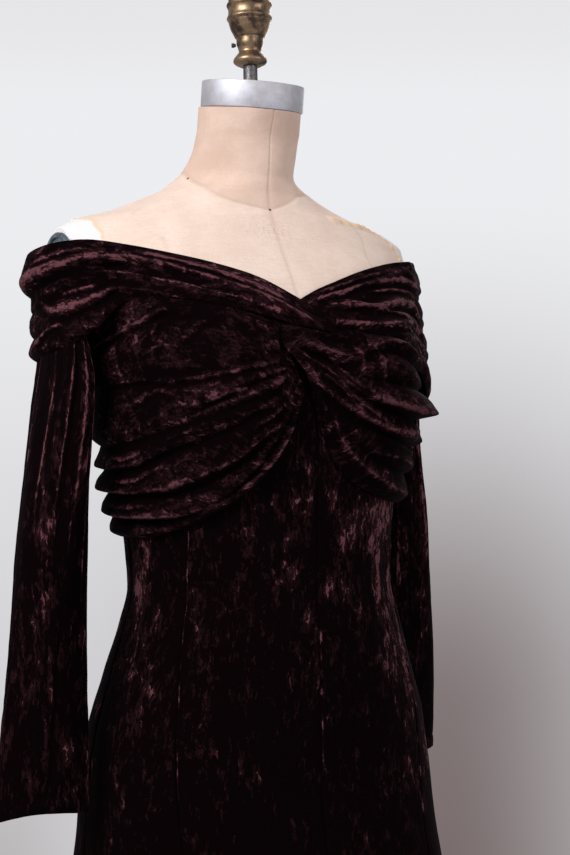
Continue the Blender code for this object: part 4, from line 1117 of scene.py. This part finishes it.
def band(name, chest, arm, folds, table, hollows, gathers, seed):
    """A shoulder band: from the twist across the chest, round the arm and over to the centre back."""
    along = np.linspace(0, 1, BAND_COLUMNS)
    chest = np.array(chest, float)
    arm = np.array(arm, float) / 1000
    top, bottom = (
        spline(np.concatenate([on_dress(*chest[:, c : c + 3].T), arm[:, c : c + 3]]), along) for c in (0, 3)
    )
    rows = pleat_places(len(folds), BAND_FOLD_ROWS)
    width = np.array([folds[k][0] + share * (folds[k][1] - folds[k][0]) for k, share in rows])
    base = top + (bottom - top) * width[:, None, None]
    right = arm[0, 0] < 0
    normal = grid_normals(base) * (-1 if right else 1)
    strong = 0.35 + 0.65 * ramp(((0.36, 0.0), (0.58, 1.0)), along)
    pleating = pleated(rows, [fold[2:] for fold in folds], along, strong, (0.35, 11, 2.7), seed)
    down = lengths(base, 0)
    far = lengths(base, 1)
    edge = portion(np.minimum(width, 1 - width), 0.08)[:, None]
    count, height, start, end = gathers
    window = ramp(((start, 0.0), (start + 0.08, 1.0)), along) * ramp(((end - 0.08, 1.0), (end, 0.0)), along)
    phase = width[:, None] * count + 0.35 * noise(far * 30, down * 20, seed + 4)
    gather = height * window * (np.abs(np.cos(math.pi * phase)) ** 0.8 - 0.5)
    streak = BAND_STREAK * rumple(down * 85, far * 14, seed + 1)
    fine = BAND_CRUSH * rumple(down * 200, far * 75, seed + 2)
    creased, painted_fold_light = creases(base, along, width, table)
    relief = pleating + (creased + gather + streak + fine) * edge
    for at, over, half_length, half_width, depth in hollows:
        relief = relief - depth * bell(along - at, half_length) * bell(width - over, half_width)[:, None]
    # the lower edge turns in
    curl = portion(width - 0.86, 0.14)[:, None] ** 2 * ramp(((0.02, 0.0), (0.12, 1.0)), along)
    grid = base + normal * (relief - 0.0030 * curl)[..., None]
    grid, relief, painted_fold_light = facing(right, grid, relief, painted_fold_light)
    # painted highlights on the fold tops and crease ridges, painted shade in the crease hollows, and
    # painted shade that dims the crushed patches a little on faces that look up
    crest = crush_and_fold_highlight(relief, 0.38, 60, 0.70) + 0.36 * painted_fold_light
    return cloth(name, grid, DRAPED_VELVET, crest, "across", (0.9, 0.95),
                 offset=seed * 0.6, lay=dimmed_facing_up(grid, 1.0, 0.15))


for side, word in ((-1, "right"), (1, "left")):
    for line, part_name in enumerate(("front", "side_front", "side_back", "back")):
        gore(f"{part_name}_{word}", side, line, line + 1 + 5 * (side > 0))
sleeve("sleeve_right", RIGHT_SLEEVE, 21)
sleeve("sleeve_left", LEFT_SLEEVE, 31)
drape("drape_right", RIGHT_DRAPE_LINES, RIGHT_PLEATS, RIGHT_LIFT, RIGHT_DRAPE_CREASES, 0.85,
      (0.30, 34, 0.74), (0.0, 0.0), 41)
drape("drape_left", LEFT_DRAPE_LINES, LEFT_PLEATS, LEFT_LIFT, LEFT_DRAPE_CREASES, 0.45,
      (0.36, 22, 0.74), (-0.8, 0.006), 52)
band("band_right", RIGHT_CHEST, RIGHT_ARM, RIGHT_BAND_FOLDS, RIGHT_BAND_CREASES, RIGHT_HOLLOWS,
     RIGHT_GATHERS, 63)
band("band_left", LEFT_CHEST, LEFT_ARM, LEFT_BAND_FOLDS, LEFT_BAND_CREASES, LEFT_HOLLOWS,
     LEFT_GATHERS, 74)


# The form and its stand


def rings_piece(name, rings, made_of, smooth_angle=35.0, bored=False):
    """A closed piece through rings of equal length, from the bottom up: with flat ends, or bored, with
    the last ring joined to the first."""
    rings = np.asarray(rings, float)
    index = np.arange(rings[..., 0].size).reshape(rings.shape[:2])
    low = index if bored else index[:-1]
    high = np.roll(index, -1, axis=0)[: len(low)]
    faces = np.stack([low, np.roll(low, -1, 1), np.roll(high, -1, 1), high], -1).reshape(-1, 4).tolist()
    if not bored:
        faces = [index[0, ::-1].tolist(), *faces, index[-1].tolist()]
    return new_piece(name, rings.reshape(-1, 3), faces, (made_of,), smooth_angle)


def circle(radius, height, around):
    angle = 2 * math.pi * np.arange(around) / around
    return np.stack([radius * np.cos(angle), radius * np.sin(angle), np.full(around, height)], -1)


def turned(name, profile, made_of, around=72, place=None, smooth_angle=35.0, bored=False):
    """A turned piece about +Z, then moved by place."""
    rings = np.array([circle(r, z, around) for r, z in profile])
    if place is not None:
        rings = place(rings)
    return rings_piece(name, rings, made_of, smooth_angle, bored)


def shoulders(points, bearing):
    """Sweeps the shoulder ridge back, brings its caps out over the arms and cuts the armholes flat."""
    sideways = np.sin(np.radians(bearing))
    back = smooth(SHOULDERS, 1, points[..., 2]) * sideways**2
    cap = smooth(SHOULDERS, 2, points[..., 2])
    end = np.abs(sideways) ** 8
    points[..., 0] += np.sign(points[..., 0]) * cap * end
    points[..., 1] += back + portion(cap, 0.016) * end * np.maximum(ARMHOLE_BACK - back, 0)
    points[..., 0] = np.clip(points[..., 0], -ARMHOLE_PLANE, ARMHOLE_PLANE)
    return points


NECK_TOP, _, NECK_FRONT, NECK_BACK = FORM_SECTIONS[-1]
NECK_MIDDLE = (NECK_BACK - NECK_FRONT) / 2


def lean_neck(points):
    """Tips the top of the neck forward."""
    blend = portion(points[..., 2] - NECK_LEAN_FROM, NECK_TOP - NECK_LEAN_FROM)
    points[..., 2] += math.tan(math.radians(NECK_LEAN)) * blend * (points[..., 1] - NECK_MIDDLE)
    return points


def on_neck(points):
    """Moves points made over the middle of the neck's flat top onto its leaning plane."""
    across, along = math.sin(math.radians(NECK_LEAN)), math.cos(math.radians(NECK_LEAN))
    x, y, z = points[..., 0], points[..., 1], points[..., 2] + SEAT
    return np.stack([x, NECK_MIDDLE + y * along - z * across, NECK_TOP + y * across + z * along], -1)


# The form's sewing: bearing and height of the neckline's seam, all round
NECKLINE = (
    (-180, 1.442), (-135, 1.440), (-90, 1.437), (-67.8, 1.431), (-40, 1.418), (-16.8, 1.4015),
    (-1.2, 1.394), (15.8, 1.410), (40.2, 1.4185), (67.8, 1.431), (90, 1.437), (135, 1.440), (180, 1.442),
)
# Seams that run down: height and bearing. The shoulder seams lean back over the shoulder
RIGHT_FORM_SEAM = ((0.80, -46), (1.04, -50), (1.22, -46), (1.345, -38), (1.3635, -37.8), (1.3995, -58.2))
LEFT_FORM_SEAM = ((0.80, 46), (1.04, 50), (1.22, 40), (1.353, 30.8), (1.3725, 32.5), (1.394, 36.0))
BACK_FORM_SEAM = ((0.80, 136), (1.04, 134), (1.22, 132), (1.33, 128), (1.40, 122))
# Torn edges of the linen at the shoulders: height and bearing. Bare cloth lies beyond them
RIGHT_TORN_EDGE = ((1.330, -60), (1.3605, -59.8), (1.369, -59), (1.3825, -67), (1.388, -88.8))
LEFT_TORN_EDGE = ((1.330, 63), (1.3605, 61), (1.376, 56), (1.384, 51), (1.389, 43), (1.392, 32))
# Frayed strips along the torn edges: bearing and height of each place; half width, how ragged
FRAYED_STRIPS = (
    (((25, 1.39), (31, 1.389), (37, 1.3875), (43, 1.3865), (49, 1.384), (54, 1.3775), (57.5, 1.368),
      (59, 1.355)), 0.0038, 0.0030),
    (((-90, 1.388), (-80, 1.3865), (-67, 1.3825), (-61, 1.3745), (-59, 1.369), (-59.8, 1.358)),
     0.0013, 0.0012),
)


def off_line(points, line):
    """Distance of points from a line drawn on the form, given by bearing and height."""
    bearing, z = spline(line, np.linspace(0, 1, 40)).T
    return off_track(points, shoulders(torso(bearing, z), bearing))[0]


def form_torso():
    """The torso with its seams, neckline, torn shoulders and flat armholes. Its points lie closer
    together where a seam, the neckline or a torn edge runs."""
    bearings = np.concatenate([
        np.arange(-180, -94, 2.0), np.arange(-94, -52, 0.8), np.arange(-52, -5, 1.6), np.arange(-5, 3, 0.4),
        np.arange(3, 18, 1.5), np.arange(18, 62, 0.6), np.arange(62, 180, 2.0),
    ])
    heights = np.concatenate([
        np.linspace(0.800, 1.30, 40)[:-1], np.linspace(1.30, 1.450, 140)[:-1],
        np.linspace(1.450, NECK_TOP, 20),
    ])
    bearing, z = np.meshgrid(bearings, heights)
    rings = torso(bearing, z)
    radius = np.hypot(rings[..., 0], rings[..., 1])
    rings = shoulders(rings, bearing)

    neckline = np.interp(bearing, *np.array(NECKLINE).T)
    # seams: centre front, centre back, then those that run down from the shoulders
    seam = bell(np.radians(bearing + 1) * radius, 0.0007)
    seam = np.maximum(seam, bell(np.radians(np.abs(bearing) - 180) * radius, 0.0012))
    down_seams = [(RIGHT_FORM_SEAM, 0.0010), (LEFT_FORM_SEAM, 0.0010)]
    down_seams += [([(h, sign * b) for h, b in BACK_FORM_SEAM], 0.0012) for sign in (-1, 1)]
    for table, half_width in down_seams:
        away = np.radians(off(bearing, np.interp(z, *np.array(table).T))) * radius
        seam = np.maximum(seam, bell(away, half_width) * (z < table[-1][0]))
    from_middle = np.minimum(np.abs(bearing), 180 - np.abs(bearing))
    bare, torn, frayed = np.zeros((3, *z.shape))
    for own, table, amount in ((bearing < 0, RIGHT_TORN_EDGE, 1.0), (bearing > 0, LEFT_TORN_EDGE, 0.45)):
        line = np.interp(z, *np.abs(table).T)
        beyond = np.radians(from_middle - line) * radius + 0.0006 * noise(z * 300, bearing * 0.3, 7)
        inside = own & (z > table[0][0]) & (z < table[-1][0] + 0.003)
        bare = np.maximum(bare, amount * portion(beyond / 0.0014 + 0.5) * inside)
    for line, half_width, ragged in FRAYED_STRIPS:
        away = off_line(rings, line) + 0.35 * half_width * noise(z * 420, bearing * 0.9, 13)
        strip = portion(1.5 - away / half_width)
        torn = np.maximum(torn, strip)
        frayed = np.maximum(frayed, ragged * strip * (0.45 + 0.55 * noise(z * 330, bearing * 0.55, 17)))
    fox = bell(bearing + 3, 9) * bell(z - 1.372, 0.013)
    ring = bell(z - neckline, 0.0010)
    lift = 0.0006 * portion(neckline - z, 0.0015) - 0.0004 * np.maximum(seam, ring) - 0.0006 * bare
    # frayed threads stand up as well as out
    rings += unit(rings * (1, 1, 0)) * (lift + 0.6 * frayed)[..., None]
    rings[..., 2] += 0.9 * frayed * (z < 1.45)
    rings[..., 0] = np.clip(rings[..., 0], -ARMHOLE_PLANE, ARMHOLE_PLANE)
    piece = rings_piece("form_torso_linen", lean_neck(rings), linen, 50.0)
    point_values(
        piece,
        neck=portion((z - neckline) / 0.0015 + 0.5),
        seam=np.maximum(seam * 0.36, ring * 0.65),
        bare=bare,
        torn=torn,
        fox=fox,
    )
    return stands_for(piece, "form_canvas", "form_torso")


def arm_plate(word):
    """The round plate on an armhole, with a rolled edge and a hub."""
    side, back, height = ARM_PLATES[word]
    edge, thick = ARM_PLATE_RADIUS, ARM_PLATE_THICKNESS
    profile = (
        (edge - 0.0005, 0.0), (edge, 0.0006), (edge, thick - 0.0012), (edge - 0.0012, thick),
        (edge - 0.0045, thick), (edge - 0.0060, thick - 0.0018), (0.0110, thick - 0.0018),
        (0.0095, thick), (0.0035, thick), (0.0030, thick - 0.0010),
    )

    def place(rings):
        x, y, z = rings[..., 0], rings[..., 1], rings[..., 2]
        return np.stack([side * (ARMHOLE_PLANE + SEAT + z), back + side * x, height + y], -1)

    piece = turned(f"arm_plate_disc_{word}", profile, slate, 64, place)
    return stands_for(piece, "slate_paint", f"arm_plate_{word}")


def neck_cap():
    edge, top = NECK_CAP_RADIUS, NECK_CAP_HEIGHT
    profile = (
        (edge - 0.0012, 0.0), (edge - 0.0003, 0.0003), (edge, 0.0012), (edge, top - 0.0010),
        (edge - 0.0004, top - 0.0003), (edge - 0.0012, top), (edge - 0.0060, top - 0.0001),
        (0.0100, top - 0.0001), (0.0085, top),
    )
    stands_for(turned("neck_cap_plate", profile, steel, 96, on_neck), "brushed_metal", "neck_cap")


def rod():
    """The rod from the leaning cap up to the finial, cut to the cap's slant below."""
    cap_top = on_neck(np.array([[0.0, 0.0, NECK_CAP_HEIGHT + SEAT]]))[0]
    low = circle(ROD_RADIUS, 0.0, 40) + (0.0, ROD_Y, 0.0)
    low[:, 2] = cap_top[2] + math.tan(math.radians(NECK_LEAN)) * (low[:, 1] - cap_top[1])
    high = circle(ROD_RADIUS, FINIAL_BOTTOM - SEAT, 40) + (0.0, ROD_Y, 0.0)
    stands_for(rings_piece("rod_bar", [low, high], rod_steel), "brushed_metal", "rod")


def finial():
    profile = spline([(r, z + FINIAL_BOTTOM) for r, z in FINIAL], np.linspace(0, 1, 150))
    piece = turned("finial_brass", profile, brass, 72, lambda rings: rings + (0.0, ROD_Y, 0.0), 60.0)
    stands_for(piece, "old_brass", "finial")


def finial_screw():
    """The small set screw in the finial's side."""
    head, length = SCREW_RADIUS, SCREW_LENGTH
    profile = (
        (head * 0.7, 0.0), (head * 0.7, 0.0012), (head, 0.0016), (head, length - 0.0004),
        (head - 0.0004, length),
    )

    def place(rings):
        turn = math.radians(SCREW_BEARING)
        out = FINIAL[SCREW_RING][0] + 2 * SEAT + rings[..., 2]
        x = math.sin(turn) * out + math.cos(turn) * rings[..., 0]
        y = ROD_Y - math.cos(turn) * out + math.sin(turn) * rings[..., 0]
        return np.stack([x, y, SCREW_HEIGHT + rings[..., 1]], -1)

    stands_for(turned("finial_set_screw", profile, iron, 32, place), "black_iron", "finial_screw")


BOARD_TOP = FORM_SECTIONS[0][0] - SEAT
POLE_TOP = BOARD_TOP - BOARD_THICKNESS - SEAT
POLE_LOW = BASE_TOP + SEAT


def bottom_board():
    """The board under the torso, with its sharp edges taken off."""
    bearings = 360 * np.arange(BOARD_POINTS) / BOARD_POINTS
    outline = torso(bearings, np.full(BOARD_POINTS, FORM_SECTIONS[0][0])) * (BOARD_INSET, BOARD_INSET, 0.0)
    profile = ((0.995, -BOARD_THICKNESS), (1.0, 0.001 - BOARD_THICKNESS), (1.0, -0.001), (0.995, 0.0))
    rings = [outline * inset + (0.0, 0.0, BOARD_TOP + height) for inset, height in profile]
    stands_for(rings_piece("bottom_board_ply", rings, board_wood), "plywood", "bottom_board")


def stand():
    """The pole, its cast foot and the collar that holds it upright."""
    tube = POLE_RADIUS
    pole = (
        (tube - 0.0005, POLE_LOW), (tube, POLE_LOW + 0.0005), (tube, POLE_TOP - 0.0005),
        (tube - 0.0005, POLE_TOP),
    )
    foot = (
        (0.2045, 0.0), (0.2085, 0.0010), (0.2098, 0.0030), (0.2100, 0.0070), (0.2094, 0.0105),
        (0.2070, 0.0128), (0.2020, 0.0140), (0.1500, 0.0160), (0.0720, 0.0200), (0.0500, 0.0222),
        (0.0420, 0.0236), (0.0400, 0.0240),
    )
    collar = (
        (0.0163, 0.0), (0.0314, 0.0), (0.0320, 0.0006), (0.0320, 0.0054), (0.0314, 0.0060),
        (0.0290, 0.0070), (0.0272, 0.0100), (0.0264, 0.0150), (0.0260, 0.0385), (0.0254, 0.0398),
        (0.0245, 0.0400), (0.0168, 0.0400), (0.0163, 0.0395),
    )
    collar = [(r, z + POLE_LOW) for r, z in collar]
    stands_for(turned("pole_tube", pole, iron, 64), "black_iron", "pole")
    stands_for(turned("stand_foot", foot, iron, 128), "black_iron", "stand_base")
    stands_for(turned("pole_collar_ring", collar, iron, bored=True), "black_iron", "pole_collar")


form_torso()
arm_plate("right")
arm_plate("left")
neck_cap()
rod()
finial()
finial_screw()
bottom_board()
stand()


# Floor, light and camera

FLOOR_RADIUS = 2.3
FLOOR_HEIGHT = -0.0005
FLOOR_POINTS = 96
# The soft column of painted shadow on the wall: its place to the right and its half width, against its
# distance
COLUMN_PLACE = 0.135
COLUMN_WIDTH = 0.16


def studio_floor():
    paint, tree, shader = new_material("floor_paint")
    fill(tree, shader, {"Base Color": (0.62, 0.61, 0.62), "Roughness": 0.8})
    disc = circle(FLOOR_RADIUS, FLOOR_HEIGHT, FLOOR_POINTS)
    floor = new_piece("studio_floor", disc, [list(range(FLOOR_POINTS))], (paint,))


def area_light(name, place, aim, size, power, colour, spread):
    data = bpy.data.lights.new(name, "AREA")
    data.shape = "RECTANGLE"
    data.size, data.size_y = size
    data.energy = power
    data.color = colour
    data.spread = math.radians(spread)
    lamp = new_object(name, data)
    lamp.location = place
    lamp.rotation_euler = (Vector(aim) - Vector(place)).to_track_quat("-Z", "Y").to_euler()


def wall(right, top, back):
    """The wall behind, as the camera sees it, with painted light and shade: pale above, darker and warmer
    towards the lower right.
    """
    world = bpy.data.worlds.new("studio")
    bpy.context.scene.world = world
    world.use_nodes = True
    tree = world.node_tree
    direction = node(tree, "ShaderNodeTexCoord").outputs["Generated"]

    def along_axis(axis):
        return maths(tree, "DOT_PRODUCT", direction, tuple(axis), kind=VECTOR_MATHS)

    forward = maths(tree, "MAXIMUM", along_axis(-back), 0.3)
    to_right = maths(tree, "DIVIDE", along_axis(right), forward)
    to_floor = maths(tree, "DIVIDE", along_axis(-top), forward)
    off_centre = maths(tree, "DIVIDE", maths(tree, "SUBTRACT", to_right, COLUMN_PLACE), COLUMN_WIDTH)
    column = maths(tree, "EXPONENT", times(tree, times(tree, off_centre, off_centre), -1.0))
    column = plus(tree, times(tree, column, 0.70), 0.30)
    steep = times(tree, remap(tree, to_floor, -0.19, 0.21), 0.87)
    gentle = times(tree, remap(tree, to_floor, 0.0, 0.31, ease="LINEAR"), 0.12)
    shade = times(tree, plus(tree, steep, gentle), column)
    corner = times(tree, remap(tree, to_right, -0.10, -0.19), remap(tree, to_floor, 0.16, 0.33))
    shade = plus(tree, shade, times(tree, corner, 0.22))
    ceiling = remap(tree, to_floor, -0.23, -0.32)
    pale = mix_colour(tree, ceiling, (0.845, 0.85, 0.875), (0.79, 0.785, 0.81))
    background = tree.nodes["Background"]
    fill(tree, background, {"Color": mix_colour(tree, shade, pale, (0.185, 0.145, 0.145)), "Strength": 1.0})
    soft = node(tree, "ShaderNodeBackground", Color=(0.90, 0.88, 0.90), Strength=0.50)
    seen = node(tree, "ShaderNodeLightPath").outputs["Is Camera Ray"]
    either = tree.nodes.new("ShaderNodeMixShader")
    sources = (seen, soft.outputs["Background"], background.outputs["Background"])
    for source, socket in zip(sources, either.inputs):
        put(tree, source, socket)
    put(tree, either.outputs["Shader"], tree.nodes["World Output"].inputs["Surface"])


def photo_camera(right, top, back, place):
    data = bpy.data.cameras.new("camera")
    data.lens = VIEW_LENS
    data.sensor_width = VIEW_SENSOR
    data.shift_x = VIEW_SHIFT_X
    camera = new_object("camera", data)
    columns = [(*axis, 0.0) for axis in (right, top, back)] + [(*place, 1.0)]
    camera.matrix_world = Matrix(columns).transposed()
    bpy.context.scene.camera = camera


studio_floor()
area_light("window_light", (-2.2, -0.9, 2.6), (0.0, 0.0, 1.42), (1.4, 1.6), 17.0, (1.0, 0.985, 0.965), 80.0)
area_light("front_fill", (1.0, -2.7, 2.0), (0.0, 0.0, 1.42), (1.6, 1.6), 5.2, (1.0, 0.97, 0.945), 80.0)
area_light("back_rim", (1.5, 1.7, 2.3), (0.0, 0.0, 1.3), (1.2, 1.6), 12.0, (1.0, 0.98, 0.97), 120.0)

azimuth = math.radians(VIEW_AZIMUTH)
roll = math.radians(VIEW_ROLL)
upright = Vector((0.0, 0.0, 1.0))
level = Vector((math.cos(azimuth), math.sin(azimuth), 0.0))
to_camera = Vector((math.sin(azimuth), -math.cos(azimuth), 0.0))
view_right = level * math.cos(roll) - upright * math.sin(roll)
view_top = level * math.sin(roll) + upright * math.cos(roll)
wall(view_right, view_top, to_camera)
bpy.context.scene.view_settings.view_transform = "Standard"
photo_camera(view_right, view_top, to_camera, to_camera * VIEW_DISTANCE + upright * VIEW_HEIGHT)
